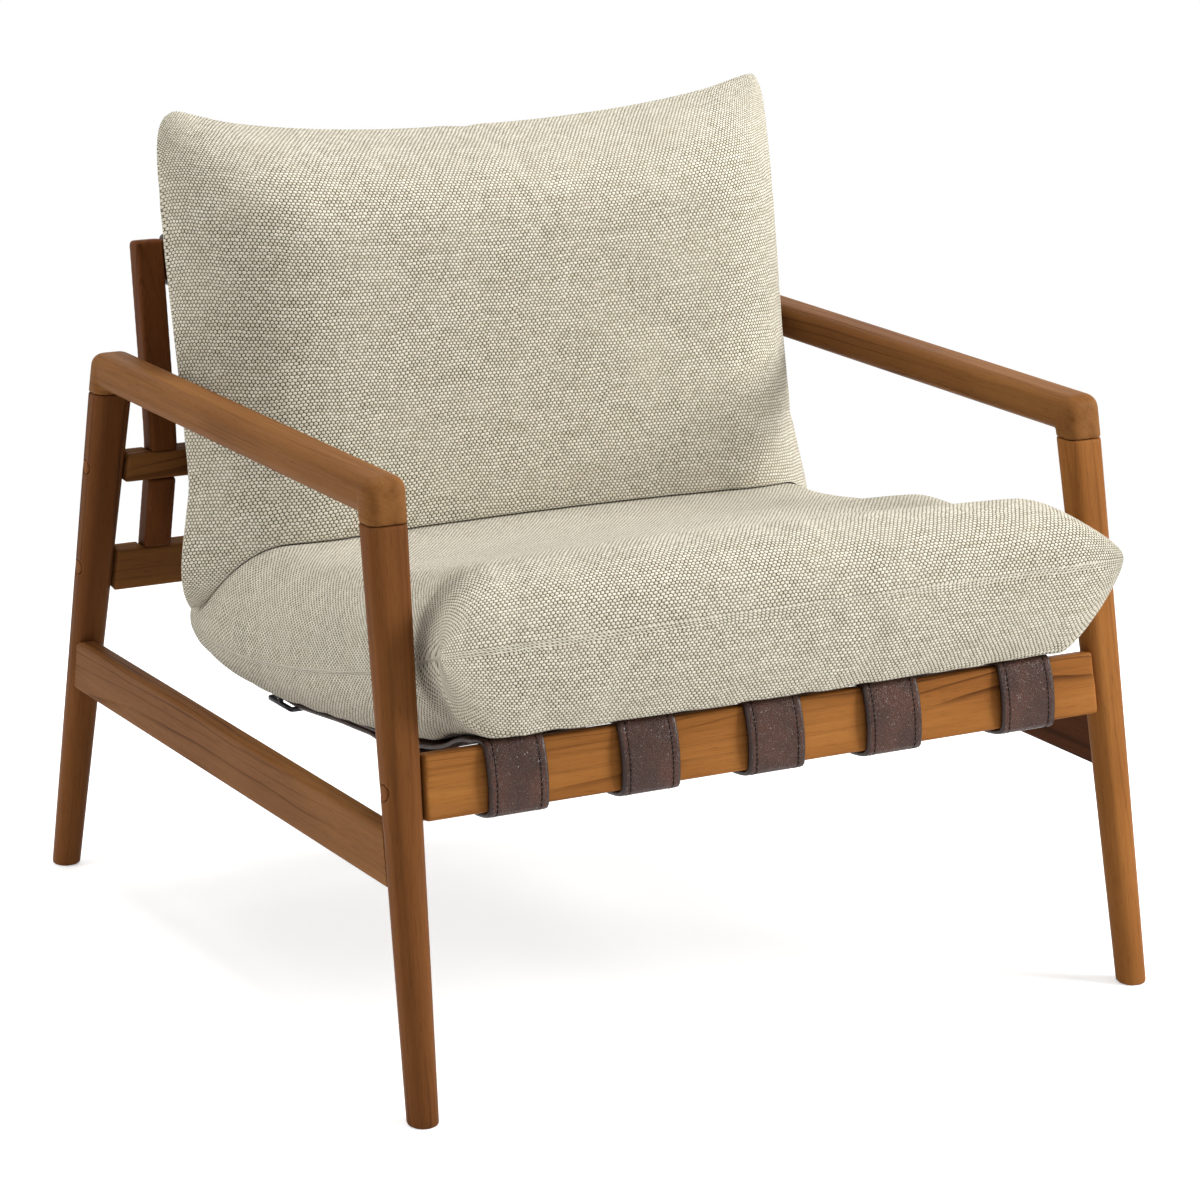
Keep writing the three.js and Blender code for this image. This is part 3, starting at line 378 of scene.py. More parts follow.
def wood_finish(name, pale, middle, dark, line_strength):
    """Oiled wood: rings round a far pith, streaks and pores along the piece's own grain."""
    sheet = Sheet(name)
    along, across, through = sheet.attribute("grain").split()

    def grained(slow, quick, detail, roughness=0.5):
        """Noise drawn out along the grain: slow along it, quick across it."""
        stretched = sheet.join(along * slow, across * quick, through * quick)
        return sheet.noise(stretched, 1, detail, roughness)

    wander = grained(2.2, 9, 2)
    ripple = grained(9, 40, 2)
    shifted = across + (wander - 0.5) * RING_WANDER + (ripple - 0.5) * RING_RIPPLE
    radius = (shifted * shifted + through * through).maths("SQRT")
    uneven = sheet.noise(sheet.join(along * 0.6, radius * 70, 0), 1, 1)
    turn = (radius * RINGS_PER_METRE + uneven * 4).maths("FRACT")
    line = turn.between(0.7, 0.95) * turn.between(0.95, 1, 1, 0)
    streak = grained(2.4, 110, 4, 0.6)
    fibre = grained(16, 900, 2, 0.6)
    pore = grained(60, 1500, 1).between(0.6, 0.72)
    patch = grained(3.5, 14, 2)
    ground = sheet.mix(patch.between(0.3, 0.7), pale, middle)
    ground = sheet.mix(streak.between(0.35, 0.7) * 0.55, ground, middle)
    lined = sheet.mix(line * patch.between(0.4, 0.68, 0.12, 1) * line_strength, ground, dark)
    streaked = sheet.mix(streak.between(0.58, 0.8) * 0.32, lined, dark)
    fibred = sheet.mix(fibre.between(0.4, 0.75) * 0.16, streaked, dark)
    sheet.feed(
        Base_Color=sheet.mix(pore * 0.32, fibred, dark),
        Roughness=0.42 + line * 0.08 + (fibre - 0.5) * 0.2,
        Normal=sheet.bump(fibre * 0.5 - pore * 0.6 - line * 0.4, 0.16 * MM, 0.4),
        Specular_IOR_Level=0.03,
    )
    return sheet.material


def leather_finish(name, pale, middle, dark):
    """Pebbled leather, darker towards its edges, with painted shade in the stitch grooves and
    between the pebbles.
    """
    sheet = Sheet(name)
    across = sheet.attribute("hide").split()[1]
    place = sheet.place()
    pebble = sheet.cells(place, 700).between(0, 0.3)
    crease = sheet.noise(place, 330, 3, 0.6)
    cloud = sheet.noise(place, 30, 3, 0.6)
    # Darker towards the strap's edges
    edge = abs(across).between(EDGE_DARKENING_START, EDGE_DARKENING_END)
    # Painted shade in the stitch grooves
    groove = abs(abs(across) - GROOVE_PLACE).between(0.3 * MM, 1.1 * MM, 1, 0)
    tone = sheet.mix(cloud.between(0.35, 0.7), middle, pale)
    # Painted shade in the creases between the pebbles
    tone = sheet.mix((1 - pebble) * 0.4, tone, dark)
    sheet.feed(
        # Darker towards the edges, and painted shade in the stitch grooves
        Base_Color=sheet.mix(edge.above(groove) * 0.65, tone, dark),
        Roughness=0.3 + (crease - 0.5) * 0.2,
        Normal=sheet.bump((pebble * 0.8 + crease * 0.8) * (1 - edge * 0.8), 0.7 * MM, 0.9),
        Specular_IOR_Level=0.34,
    )
    return sheet.material


def thread_finish(name, dark, pale):
    """Plied thread."""
    sheet = Sheet(name)
    ply = sheet.noise(sheet.place(), 2200, 1)
    sheet.feed(Base_Color=sheet.mix(ply, dark, pale), Roughness=0.75, Specular_IOR_Level=0.1)
    return sheet.material


def metal_finish(name, tone, roughness):
    """Metal that is paler where it is rubbed."""
    sheet = Sheet(name)
    place = sheet.place()
    rub = sheet.noise(place, 120, 3, 0.6)
    fine = sheet.noise(place, 1400, 2)
    rubbed = tuple(min(1, share * 1.6) for share in tone[:3]) + (1,)
    sheet.feed(
        Base_Color=sheet.mix(rub.between(0.35, 0.75), tone, rubbed),
        Metallic=1.0,
        Roughness=roughness + (rub - 0.5) * 0.2,
        Normal=sheet.bump(fine, 0.05 * MM, 0.3),
    )
    return sheet.material


def fabric_finish(name, pale, middle, shadow):
    """Chunky weave: rows of rounded yarn bumps, each row set off by half, with painted shade in the
    gaps.
    """
    sheet = Sheet(name)
    across, along, seam = sheet.attribute("weave").split()
    place = sheet.place()

    # Yarn rows that wander a little; an odd row's bumps stand between those of an even row
    sway = sheet.noise(place, 24, 2)
    swell = sheet.noise(place, 140, 2)
    u = (across + (sway - 0.5) * (6 * MM) + (swell - 0.5) * (1.6 * MM)) / WARP_PITCH
    v = (along + (sway - 0.5) * (5 * MM) - (swell - 0.5) * (1.2 * MM)) / WEFT_PITCH
    row = v.maths("FLOOR")
    pair = (u + row) * 0.5
    to_side = (pair.maths("FRACT") - 0.5) * 2
    to_end = v.maths("FRACT") - 0.5

    # Each bump is half an ellipsoid of its own width, over a lower weft
    size = sheet.noise(sheet.join(pair.maths("FLOOR") * 0.73, row * 0.61, 0), 2.1, 0)
    dome = 1 - (to_side / (0.7 + size * 0.32)) ** 2 - (to_end / 0.52) ** 2
    knot = dome.above(0).maths("SQRT")
    weft = (1 - (to_end * 2) ** 2).above(0).maths("SQRT") * 0.14
    height = knot.above(weft)

    # Colour: uneven yarns, painted shade in the gaps, clouds, fibres, painted shade in the tuck
    # beside the seam, and the seam's thread
    slub = sheet.noise(sheet.join(u * 0.03, row * 0.83, 0), 1, 2)
    cloud = sheet.noise(place, 14, 3)
    fibre = sheet.noise(place, 2600, 2, 0.7)
    lit = sheet.mix((size * 0.6 + slub * 0.7 - 0.15).between(0.2, 0.8), middle, pale)
    # Painted shade: the yarn darkens to the shadow colour where it lies low, in the gaps between
    # the bumps
    tone = sheet.mix(height.between(0.06, 0.55), shadow, lit)
    tone = sheet.mix(cloud.between(0.4, 0.75) * 0.16, tone, middle)
    tone = sheet.mix(fibre.between(0.5, 0.8) * 0.15, tone, shadow)
    beside = abs(seam)
    # Painted shade in the tuck beside the seam; the same mask also lowers the bump there
    shaded_tuck = beside.between(0.3 * MM, 1.4 * MM, 1, 0)
    thread = beside.between(0.3 * MM, 0.9 * MM, 1, 0)
    tone = sheet.mix(thread * 0.35, sheet.mix(shaded_tuck * 0.12, tone, shadow), pale)
    sheet.feed(
        Base_Color=tone,
        Roughness=0.88 + (fibre - 0.5) * 0.15,
        Normal=sheet.bump(height * (1 - shaded_tuck * 0.5) - shaded_tuck * 0.2 + fibre * 0.1, 1.0 * MM, 0.55),
        Sheen_Weight=0.08,
        Sheen_Roughness=0.5,
        Specular_IOR_Level=0.2,
    )
    return sheet.material


def stage_finish():
    """Pale floor that the camera sees as white, with the object's shadow kept."""
    sheet = Sheet("stage_floor")
    sheet.feed(Base_Color=rgb(240, 240, 239), Roughness=0.9, Specular_IOR_Level=0.1)
    x, y = sheet.place().split()[:2]
    far = (x * x + y * y).maths("SQRT").between(FLOOR_SHADOW_REACH, 2 * FLOOR_SHADOW_REACH)
    paint = Field(sheet, sheet.shader.outputs[0])
    glow = sheet.node("ShaderNodeEmission", {}, {"Color": WHITE, "Strength": FLOOR_GLOW})
    white = sheet.node("ShaderNodeEmission", {}, {"Color": WHITE, "Strength": 1.0})
    lit = sheet.node("ShaderNodeAddShader", {}, [paint, glow])
    faded = sheet.node("ShaderNodeMixShader", {}, [far, lit, white])
    shown = sheet.node("ShaderNodeMixShader", {}, [sheet.seen_directly(), paint, faded])
    sheet.plug(shown, sheet.tree.nodes["Material Output"].inputs["Surface"])
    return sheet.material


# Mesh helpers

def new_object(name, data, body):
    piece = bpy.data.objects.new(name, data)
    bpy.context.scene.collection.objects.link(piece)
    if body:
        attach(piece, body)
    return piece


def mesh_from(name, points, faces):
    data = bpy.data.meshes.new(name)
    data.from_pydata([tuple(p) for p in points], [], [tuple(f) for f in faces])
    data.validate()
    data.update()
    return data


def points_of(data):
    flat = np.empty(len(data.vertices) * 3, np.float32)
    data.vertices.foreach_get("co", flat)
    return flat.reshape(-1, 3).astype(float)


def move_points(data, points):
    data.vertices.foreach_set("co", np.asarray(points, np.float32).ravel())
    data.update()


def set_attribute(data, name, values):
    layer = data.attributes.new(name, "FLOAT_VECTOR", "POINT")
    layer.data.foreach_set("vector", np.asarray(values, np.float32).ravel())


def smooth_faces(data):
    data.polygons.foreach_set("use_smooth", np.ones(len(data.polygons), bool))
    data.update()


def cover(data, *materials):
    data.materials.clear()
    for material in materials:
        data.materials.append(material)


def welded_copy(node):
    """The CAD node's mesh with its doubled points joined."""
    work = bmesh.new()
    work.from_mesh(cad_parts[node].data)
    bmesh.ops.remove_doubles(work, verts=work.verts, dist=0.001 * MM)
    data = bpy.data.meshes.new(node + "_copy")
    work.to_mesh(data)
    work.free()
    return data


def modified(data, *modifiers):
    """The mesh with these modifiers applied."""
    scratch = bpy.data.objects.new("scratch", data)
    bpy.context.scene.collection.objects.link(scratch)
    for kind, settings in modifiers:
        modifier = scratch.modifiers.new(kind.lower(), kind)
        for key, value in settings.items():
            setattr(modifier, key, value)
    graph = bpy.context.evaluated_depsgraph_get()
    result = bpy.data.meshes.new_from_object(scratch.evaluated_get(graph), depsgraph=graph)
    bpy.data.objects.remove(scratch)
    return result


# Wood

def grain_axes(points):
    """The piece's own axes, longest first, with signs that don't depend on the solver."""
    centre = points.mean(0)
    values, vectors = np.linalg.eigh(np.cov((points - centre).T))
    axes = vectors[:, np.argsort(-values)].T
    for axis in axes:
        axis *= np.sign(axis[np.argmax(abs(axis))])
    return centre, axes


def grain_values(points, seed):
    """Places in the tree that the piece was cut from: along its grain, then across it."""
    centre, axes = grain_axes(points)
    draw = np.random.default_rng(seed)
    pith = np.array([draw.uniform(0, 9), draw.uniform(0.01, 0.05), draw.uniform(0.02, 0.07)])
    return (points - centre) @ axes.T + pith


def make_wood(node, seed, material, voxel=WOOD_VOXEL):
    rounded = modified(
        welded_copy(node),
        ("REMESH", {"mode": "VOXEL", "voxel_size": voxel}),
        ("SMOOTH", {"factor": 0.5, "iterations": WOOD_SMOOTHING}),
    )
    rounded.name = node + "_wood"
    smooth_faces(rounded)
    set_attribute(rounded, "grain", grain_values(points_of(rounded), seed))
    cover(rounded, material)
    piece = new_object(node + "_wood", rounded, "frame")
    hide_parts(node)


# Straps

def side_outline(node):
    """The strap's side view: the closed border of its left face, point by point."""
    data = welded_copy(node)
    points = points_of(data)
    leftmost = {}
    for number, point in enumerate(points):
        place = tuple(np.round(point[1:] / MM, 3))
        if place not in leftmost or point[0] < points[leftmost[place]][0]:
            leftmost[place] = number
    left = set(leftmost.values())
    edges = {}
    for face in data.polygons:
        corners = list(face.vertices)
        if all(corner in left for corner in corners):
            for pair in zip(corners, corners[1:] + corners[:1]):
                edges[pair] = True
    following = {a: b for a, b in edges if (b, a) not in edges}
    start = min(following)
    loop = [start]
    while following[loop[-1]] != start:
        loop.append(following[loop[-1]])
    return points[loop]


def ribbon_line(outline):
    """The centreline of a strap's outline, from its free tail to its sewn end."""
    flat = outline[:, 1:]
    count = len(flat)
    steps = np.arange(count // 2)
    best = None
    for start in range(count // 2):
        # Two walks away from one end of the ribbon keep its thickness between them
        first = flat[(start + 1 + steps) % count]
        second = flat[(start - steps) % count]
        error = abs(np.linalg.norm(first - second, axis=1) - STRAP_THICKNESS).mean()
        if best is None or error < best[0]:
            best = (error, (first + second) / 2)
    line = best[1]
    return line if line[0][1] < line[-1][1] else line[::-1]


def chord_tangent(before, here, after):
    """The direction at a point, weighted so that uneven spacing makes no loops."""
    a = np.linalg.norm(here - before)
    b = np.linalg.norm(after - here)
    return ((here - before) / a * b + (after - here) / b * a) / (a + b)


def resampled(line, step):
    """Points about step apart on a smooth curve through the line's points."""
    ends = np.vstack([2 * line[0] - line[1], line, 2 * line[-1] - line[-2]])
    out = []
    for i in range(1, len(ends) - 2):
        p0, p1, p2, p3 = ends[i - 1:i + 3]
        length = np.linalg.norm(p2 - p1)
        count = max(1, int(round(length / step)))
        m1 = chord_tangent(p0, p1, p2) * length
        m2 = chord_tangent(p1, p2, p3) * length
        for j in range(count):
            t = j / count
            out.append((2 * t**3 - 3 * t**2 + 1) * p1 + (t**3 - 2 * t**2 + t) * m1
                       + (-2 * t**3 + 3 * t**2) * p2 + (t**3 - t**2) * m2)
    out.append(line[-1])
    return np.array(out)


def strap_section():
    """Points of (across, height) round the strap: round edges, and stitch grooves on both faces."""
    edge = STRAP_THICKNESS / 2
    flat_half = STRAP_WIDTH / 2 - edge
    grooves = (-GROOVE_PLACE, GROOVE_PLACE)
    stations = [-flat_half, -GROOVE_PLACE / 2, 0, GROOVE_PLACE / 2, flat_half]
    stations += [groove + offset for groove in grooves for offset in GROOVE_OFFSETS]
    top = []
    for x in sorted(stations):
        dip = sum(math.exp(-((x - groove) / GROOVE_SPREAD) ** 2) for groove in grooves)
        top.append((x, edge - GROOVE_DEPTH * dip))
    angles = np.linspace(0, math.pi, STRAP_EDGE_STEPS + 2)[1:-1]
    right = [(flat_half + edge * math.sin(a), edge * math.cos(a)) for a in angles]
    bottom = [(x, -z) for x, z in reversed(top)]
    left = [(-x, -z) for x, z in right]
    return np.array(top + right + bottom + left)


def tube_faces(first, rings, sides):
    """The faces of a closed tube whose points are numbered from first, ring by ring."""
    faces = []
    for ring in range(rings - 1):
        start = first + ring * sides
        for side in range(sides):
            a, b = start + side, start + (side + 1) % sides
            faces.append((a, b, b + sides, a + sides))
    last = first + (rings - 1) * sides
    faces.append(tuple(range(first + sides - 1, first - 1, -1)))
    faces.append(tuple(range(last, last + sides)))
    return faces


class StrapCourse:
    """Where a strap runs: its line in side view, its normals, its centre in X and its length."""

    def __init__(self, node, outline):
        self.line = resampled(ribbon_line(outline), STRAP_STEP)
        points = points_of(welded_copy(node))
        slope, base = np.polyfit(points[:, 1], points[:, 0], 1)
        self.centre = base + slope * self.line[:, 0]
        tangent = np.gradient(self.line, axis=0)
        tangent /= np.linalg.norm(tangent, axis=1)[:, None]
        self.normal = np.stack([-tangent[:, 1], tangent[:, 0]], 1)
        steps = np.linalg.norm(np.diff(self.line, axis=0), axis=1)
        self.run = np.concatenate([[0], np.cumsum(steps)])

    def at(self, along):
        """The strap's middle and its normal, at a length along it."""
        middle = [np.interp(along, self.run, values) for values in (self.centre, *self.line.T)]
        normal = [0] + [np.interp(along, self.run, values) for values in self.normal.T]
        return np.array(middle), np.array(normal)


def stitch_points(course, middle, side, face):
    """A short slanting thread that arches out of its groove, and each point's length along."""
    points, lengths = [], []
    for ring in range(STITCH_RINGS):
        t = ring / (STITCH_RINGS - 1) * 2 - 1
        along = middle + t * STITCH_LENGTH / 2
        across = side * GROOVE_PLACE + t * STITCH_SLANT
        height = face * (STRAP_THICKNESS / 2 - GROOVE_DEPTH + STITCH_LIFT
                         + STITCH_ARCH * (1 - t * t))
        radius = STITCH_RADIUS * math.sqrt(max(STITCH_END_SHARE, 1 - t ** 4))
        spot, normal = course.at(along)
        for turn in range(STITCH_SIDES):
            angle = turn / STITCH_SIDES * 2 * math.pi
            point = spot + normal * (height + radius * math.sin(angle))
            point[0] += across + radius * math.cos(angle)
            points.append(point)
            lengths.append(along)
    return points, lengths


def make_strap(number, leather, thread):
    node = f"strap_{number}"
    outline = side_outline(node)
    course = StrapCourse(node, outline)
    section = strap_section()

    # Each point's hide values are its length along the strap and its place across it
    points, hide = [], []
    for along, centre, spot, normal in zip(course.run, course.centre, course.line, course.normal):
        for across, height in section:
            points.append((centre + across, *(spot + normal * height)))
            hide.append((along, across, 0))
    faces = tube_faces(0, len(course.line), len(section))
    leather_count = len(faces)

    for side in (-1, 1):
        for face in (-1, 1):
            for count in range(int((course.run[-1] - STITCH_BARE_RUN) / STITCH_PITCH)):
                middle = STITCH_START + count * STITCH_PITCH
                faces += tube_faces(len(points), STITCH_RINGS, STITCH_SIDES)
                ring_points, lengths = stitch_points(course, middle, side, face)
                points += ring_points
                hide += [(length, 0, 0) for length in lengths]

    data = mesh_from(node + "_leather", points, faces)
    smooth_faces(data)
    set_attribute(data, "hide", hide)
    cover(data, leather, thread)
    material_numbers = np.ones(len(data.polygons), np.int32)
    material_numbers[:leather_count] = 0
    data.polygons.foreach_set("material_index", material_numbers)
    piece = new_object(node + "_leather", data, "frame")
    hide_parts(node)
    return outline


def make_buckle(number, material):
    node = f"buckle_{number}"
    rounded = modified(
        welded_copy(node),
        ("BEVEL", {"width": BUCKLE_ROUNDING, "segments": 3, "limit_method": "ANGLE"}),
    )
    rounded.name = node + "_slider"
    smooth_faces(rounded)
    cover(rounded, material)
    piece = new_object(node + "_slider", rounded, "frame")
    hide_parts(node)


# Cushion shapes

def crossings(outline, axis, value):
    """Where a closed outline crosses a line at a height (axis 1) or a depth (axis 0)."""
    found = []
    for a, b in zip(outline, np.roll(outline, -1, axis=0)):
        if (a[axis] - value) * (b[axis] - value) < 0:
            share = (value - a[axis]) / (b[axis] - a[axis])
            found.append(a[1 - axis] + share * (b[1 - axis] - a[1 - axis]))
    return found


def spline(points):
    """A smooth curve through points that count as evenly spaced."""
    points = np.array(points, float)
    last = len(points) - 1
    out = []
    for t in np.linspace(0, last, SPLINE_STEPS):
        i = min(int(t), last - 1)
        w = t - i
        p0, p1 = points[max(i - 1, 0)], points[i]
        p2, p3 = points[i + 1], points[min(i + 2, last)]
        v0, v1 = (p2 - p0) / 2, (p3 - p1) / 2
        out.append((2 * p1 - 2 * p2 + v0 + v1) * w**3 + (3 * p2 - 3 * p1 - 2 * v0 - v1) * w**2
                   + v0 * w + p1)
    return np.array(out)


def fullness(distance, rounding):
    """A full round edge: a quarter of an ellipse from the seam inwards."""
    near = np.clip(distance / rounding, 0, 1)
    return np.sqrt(1 - (1 - near) ** 2)


def pinched_fullness(distance, rounding):
    """A pillow edge that starts at a slope, with no line where it meets the middle."""
    near = np.clip(distance / rounding, 0, 1)
    return 1 - (1 - near) ** 3


def corner_fullness(first, second):
    """How full a cushion is where two edges meet: a full round corner."""
    both = first * second
    return both / np.maximum(first + second - both, 1e-9)


def by_side(across, pair):
    """The pair's first value on the left half and its second on the right."""
    return np.where(across < 0, *pair)


def hill(share, middle, spread):
    return np.exp(-((share - middle) / spread) ** 2)


def seat_rest(x, y, sling):
    """The height at each place that the seat cushion's underside can't sink below."""
    depths = np.linspace(SEAT_FRONT - REST_OVERRUN, SEAT_FRONT + SEAT_LENGTH + REST_OVERRUN,
                         REST_STEPS)
    heights = []
    for depth in depths:
        on_rail = RAIL_REST_FRONT < depth < RAIL_REST_BACK
        heights.append(max([RAIL_REST_HEIGHT if on_rail else 0] + crossings(sling, 0, depth)))
    heights = np.where(depths < RAIL_REST_FRONT, 0, np.array(heights) + REST_CLEARANCE)
    rest = np.max([np.interp(y + side * REST_WIDENING, depths, heights) for side in (-1, 0, 1)],
                  axis=0)
    # Between the straps the cushion's underside sags a little
    straps = [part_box(f"strap_{number}") for number in STRAP_NUMBERS]
    beside = np.min([np.maximum(low.x - x, x - high.x) for low, high in straps], axis=0)
    return rest - BELLY_SAG * np.clip(beside / BELLY_REACH, 0, 1) ** 2


def seat_grids(sling):
    """The seat cushion's upper and under sheet, as grids of points."""
    across = -np.cos(np.linspace(0, math.pi, CUSHION_COLUMNS + 1))[:, None]
    along = -np.cos(np.linspace(0, math.pi, CUSHION_ROWS + 1))[None, :]
    share = (along + 1) / 2
    seam_line = spline([[SEAT_FRONT + length * SEAT_LENGTH,
                         SEAT_SEAM_LOW + rise * (SEAT_SEAM_HIGH - SEAT_SEAM_LOW)]
                        for length, rise in SEAT_SEAM_SHARES])
    y = SEAT_FRONT + share * SEAT_LENGTH
    seam = np.interp(y, seam_line[:, 0], seam_line[:, 1])
    to_corner = abs(along) ** SEAT_CORNER_POWER
    flare = np.where(along < 0, by_side(across, SEAT_FLARES) * to_corner, 0)
    rear_cut = np.where(along > 0, SEAT_REAR_CUT * to_corner, 0)
    x = across * (SEAT_HALF + flare) * (1 - rear_cut)

    def full(roundings):
        front = fullness(share * SEAT_LENGTH, roundings["front"])
        rear = fullness((1 - share) * SEAT_LENGTH, roundings["rear"])
        side = fullness((1 - abs(across)) * SEAT_HALF, by_side(across, roundings["sides"]))
        return corner_fullness(side, front * rear) * (1 - SEAT_SIDE_FALL * across ** 2)

    top_full = full(SEAT_TOP_ROUNDINGS)
    hump = SEAT_HUMP_HEIGHT * hill(share, SEAT_HUMP_SHARE, SEAT_HUMP_SPREAD)
    dent = SEAT_DENT_DEPTH * hill(share, SEAT_DENT_SHARE, SEAT_DENT_SPREAD)
    dented = np.clip((across - SEAT_DENT_START) / (SEAT_DENT_END - SEAT_DENT_START), 0, 1)
    top = seam + (SEAT_CROWN + SEAT_CROWN_GAIN * share) * top_full
    top = top + (hump - dent) * top_full * dented
    under = seam - (SEAT_BELLY - SEAT_BELLY_LOSS * share) * full(SEAT_UNDER_ROUNDINGS)
    under = np.minimum(seam, np.maximum(under, seat_rest(x, y, sling)))
    spread = np.broadcast_to(y, x.shape)
    return [np.stack([x, spread, z], -1) for z in (top, under)]


def seam_spacing(count, crowding):
    """Places from -1 to 1, closer together towards the ends by crowding, 0 to 1."""
    even = np.linspace(-1, 1, count + 1)
    return even * (1 - crowding) + np.sin(even * math.pi / 2) * crowding


def lean_limits(sling):
    """Heights, and how far back the back cushion can reach at each of them."""
    heights = np.linspace(LEAN_LOWEST, LEAN_HIGHEST, LEAN_STEPS)
    limits = []
    for height in heights:
        behind = [y for y in crossings(sling, 1, height) if y > LEAN_SLING_START]
        limits.append(min(behind or [LEAN_WITHOUT_SLING]))
    top = sling[:, 1].max() - LEAN_TOP_DROP
    above_top = np.interp(top, heights, limits) + (heights - top) * LEAN_TOP_SLOPE
    return heights, np.where(heights > top, above_top, limits) - LEAN_CLEARANCE


def back_sides(across, along):
    """X over the back cushion: waist, low bulge, cut corners and a lean to the left."""
    waist = BACK_WAIST * (1 - along ** 2)
    narrowing = np.where(along > 0, BACK_NARROWING * along ** 2, 0)
    below = np.cos(math.pi / 2 * np.clip((along + 1) / BACK_BULGE_SHARE, 0, 1))
    bulge = BACK_BULGE * abs(below) ** BACK_BULGE_POWER
    end_cut = BACK_END_CUT * abs(along) ** BACK_END_POWER
    to_corner = np.where(along > 0, abs(across * along), 0)
    corner_cut = by_side(across, BACK_CORNER_CUTS) * to_corner ** BACK_CORNER_CUT_POWER
    x = across * (BACK_HALF - waist - narrowing + bulge) * (1 - end_cut) * (1 - corner_cut)
    x = x * (1 + by_side(across, BACK_TOP_SPREADS) * np.clip(along, 0, 1))
    return x - BACK_LEAN_LEFT * np.clip(along - BACK_LEAN_START, 0, 1)


def back_rise(across, along):
    """The seam's rise along the leaning plane: sagging ends between raised top corners."""
    sag = np.where(along > 0, BACK_TOP_SAG, -BACK_FOOT_SAG) * along ** 2 * (1 - across ** 2)
    to_corner = np.where(along > 0, abs(across * along), 0)
    raised = by_side(across, BACK_CORNER_RISES) * to_corner ** BACK_CORNER_RISE_POWER
    dropped = by_side(across, BACK_CORNER_DROPS) * to_corner ** BACK_CORNER_DROP_POWER
    return (along + 1) / 2 * BACK_HEIGHT - sag + raised - dropped


def back_grids(sling):
    """The back cushion's front and rear sheet, as grids of points."""
    across = seam_spacing(CUSHION_COLUMNS, BACK_SEAM_CROWDING)[:, None]
    along = seam_spacing(CUSHION_ROWS, BACK_SEAM_CROWDING)[None, :]
    up = np.array([math.sin(BACK_TILT), math.cos(BACK_TILT)])
    forward = np.array([-up[1], up[0]])
    x = back_sides(across, along)
    seam = BACK_BASE + back_rise(across, along)[..., None] * up
    to_end = (1 - abs(along)) * BACK_HEIGHT / 2
    side = pinched_fullness((1 - abs(across)) * BACK_HALF, BACK_EDGE_ROUNDING)
    end = pinched_fullness(to_end, BACK_EDGE_ROUNDING)
    full = (1 - BACK_SIDE_FALL * across ** 2) * np.where(
        along > 0,
        side * end * BACK_CORNER_SOFTNESS + corner_fullness(side, end) * (1 - BACK_CORNER_SOFTNESS),
        corner_fullness(side, fullness(to_end, BACK_FOOT_ROUNDING)))
    front = seam + forward * (BACK_CROWN * full)[..., None]
    rear = seam - forward * (BACK_BELLY * full)[..., None]
    limit = np.interp(rear[..., 1], *lean_limits(sling))
    rear[..., 0] = np.maximum(seam[..., 0], np.minimum(rear[..., 0], limit))
    return [np.stack([x, sheet[..., 0], sheet[..., 1]], -1) for sheet in (front, rear)]


# Cushion meshes

def lengths_across(grid, axis):
    """The cloth's length from one side of the grid to each point, and to the other side."""
    steps = np.linalg.norm(np.diff(grid, axis=axis), axis=2)
    start = np.zeros_like(np.take(steps, [0], axis))
    total = np.concatenate([start, np.cumsum(steps, axis)], axis)
    return total, np.take(total, [-1], axis)


def run_out(values, marks, lengths):
    """Cloth lengths at these places, from the lengths measured at the marks of a middle line."""
    marks = np.maximum.accumulate(marks)
    beyond = values - np.clip(values, marks[0], marks[-1])
    return np.interp(values, marks, lengths) + beyond


def weave_places(grids, upwards, follow_sides):
    """Each sheet's weave values: cloth places across and along, and distance from the seam.

    The places are measured on a sheet's middle row and column and carried to its other points,
    so that the yarns run straight. The under sheet's are scaled to meet the upper one's at the
    seam, and its distances are negative.
    """
    column, row = (count // 2 for count in grids[0].shape[:2])
    places = []
    for sheet, grid in enumerate(grids):
        (u, u_all), (v, v_all) = lengths_across(grid, 0), lengths_across(grid, 1)
        if sheet == 0:
            seam_u, seam_v = u_all[0, row], v_all[column, 0]
        rise = grid @ np.array(upwards)
        rise = rise[column, 0] + ((rise - rise[:, :1]) * np.ptp(rise[column, [0, -1]])
                                  / (rise[:, -1:] - rise[:, :1]))
        sides = grid[..., 0]
        to_middle = sides[-1, row] / sides[-1]
        sides = sides * (to_middle if follow_sides else np.minimum(1, to_middle))
        middle_u = (u - u_all / 2)[:, row] * (seam_u / u_all[0, row])
        middle_v = (v - v_all / 2)[column] * (seam_v / v_all[column, 0])
        to_seam = np.minimum(np.minimum(u, u_all - u), np.minimum(v, v_all - v))
        places.append(np.stack([
            run_out(sides, sides[:, row], middle_u),
            run_out(rise, rise[column], middle_v),
            to_seam if sheet == 0 else -to_seam,
        ], -1))
    return places


def closed_sheets(grids, upwards, follow_sides):
    """One closed mesh of two sheets that share their border, with each point's weave values."""
    columns, rows = grids[0].shape[0] - 1, grids[0].shape[1] - 1
    border = np.zeros((columns + 1, rows + 1), bool)
    border[[0, -1], :] = True
    border[:, [0, -1]] = True
    numbers = {}

    def key(sheet, i, j):
        return ("border" if border[i, j] else sheet, i, j)

    points, weave, faces = [], [], []
    for sheet, (grid, places) in enumerate(zip(grids, weave_places(grids, upwards, follow_sides))):
        for i in range(columns + 1):
            for j in range(rows + 1):
                if key(sheet, i, j) not in numbers:
                    numbers[key(sheet, i, j)] = len(points)
                    points.append(grid[i, j])
                    weave.append(places[i, j])
        for i in range(columns):
            for j in range(rows):
                corners = ((i, j), (i + 1, j), (i + 1, j + 1), (i, j + 1))
                quad = tuple(numbers[key(sheet, *corner)] for corner in corners)
                faces.append(quad if sheet == 0 else quad[::-1])
    return np.array(points), np.array(weave), faces


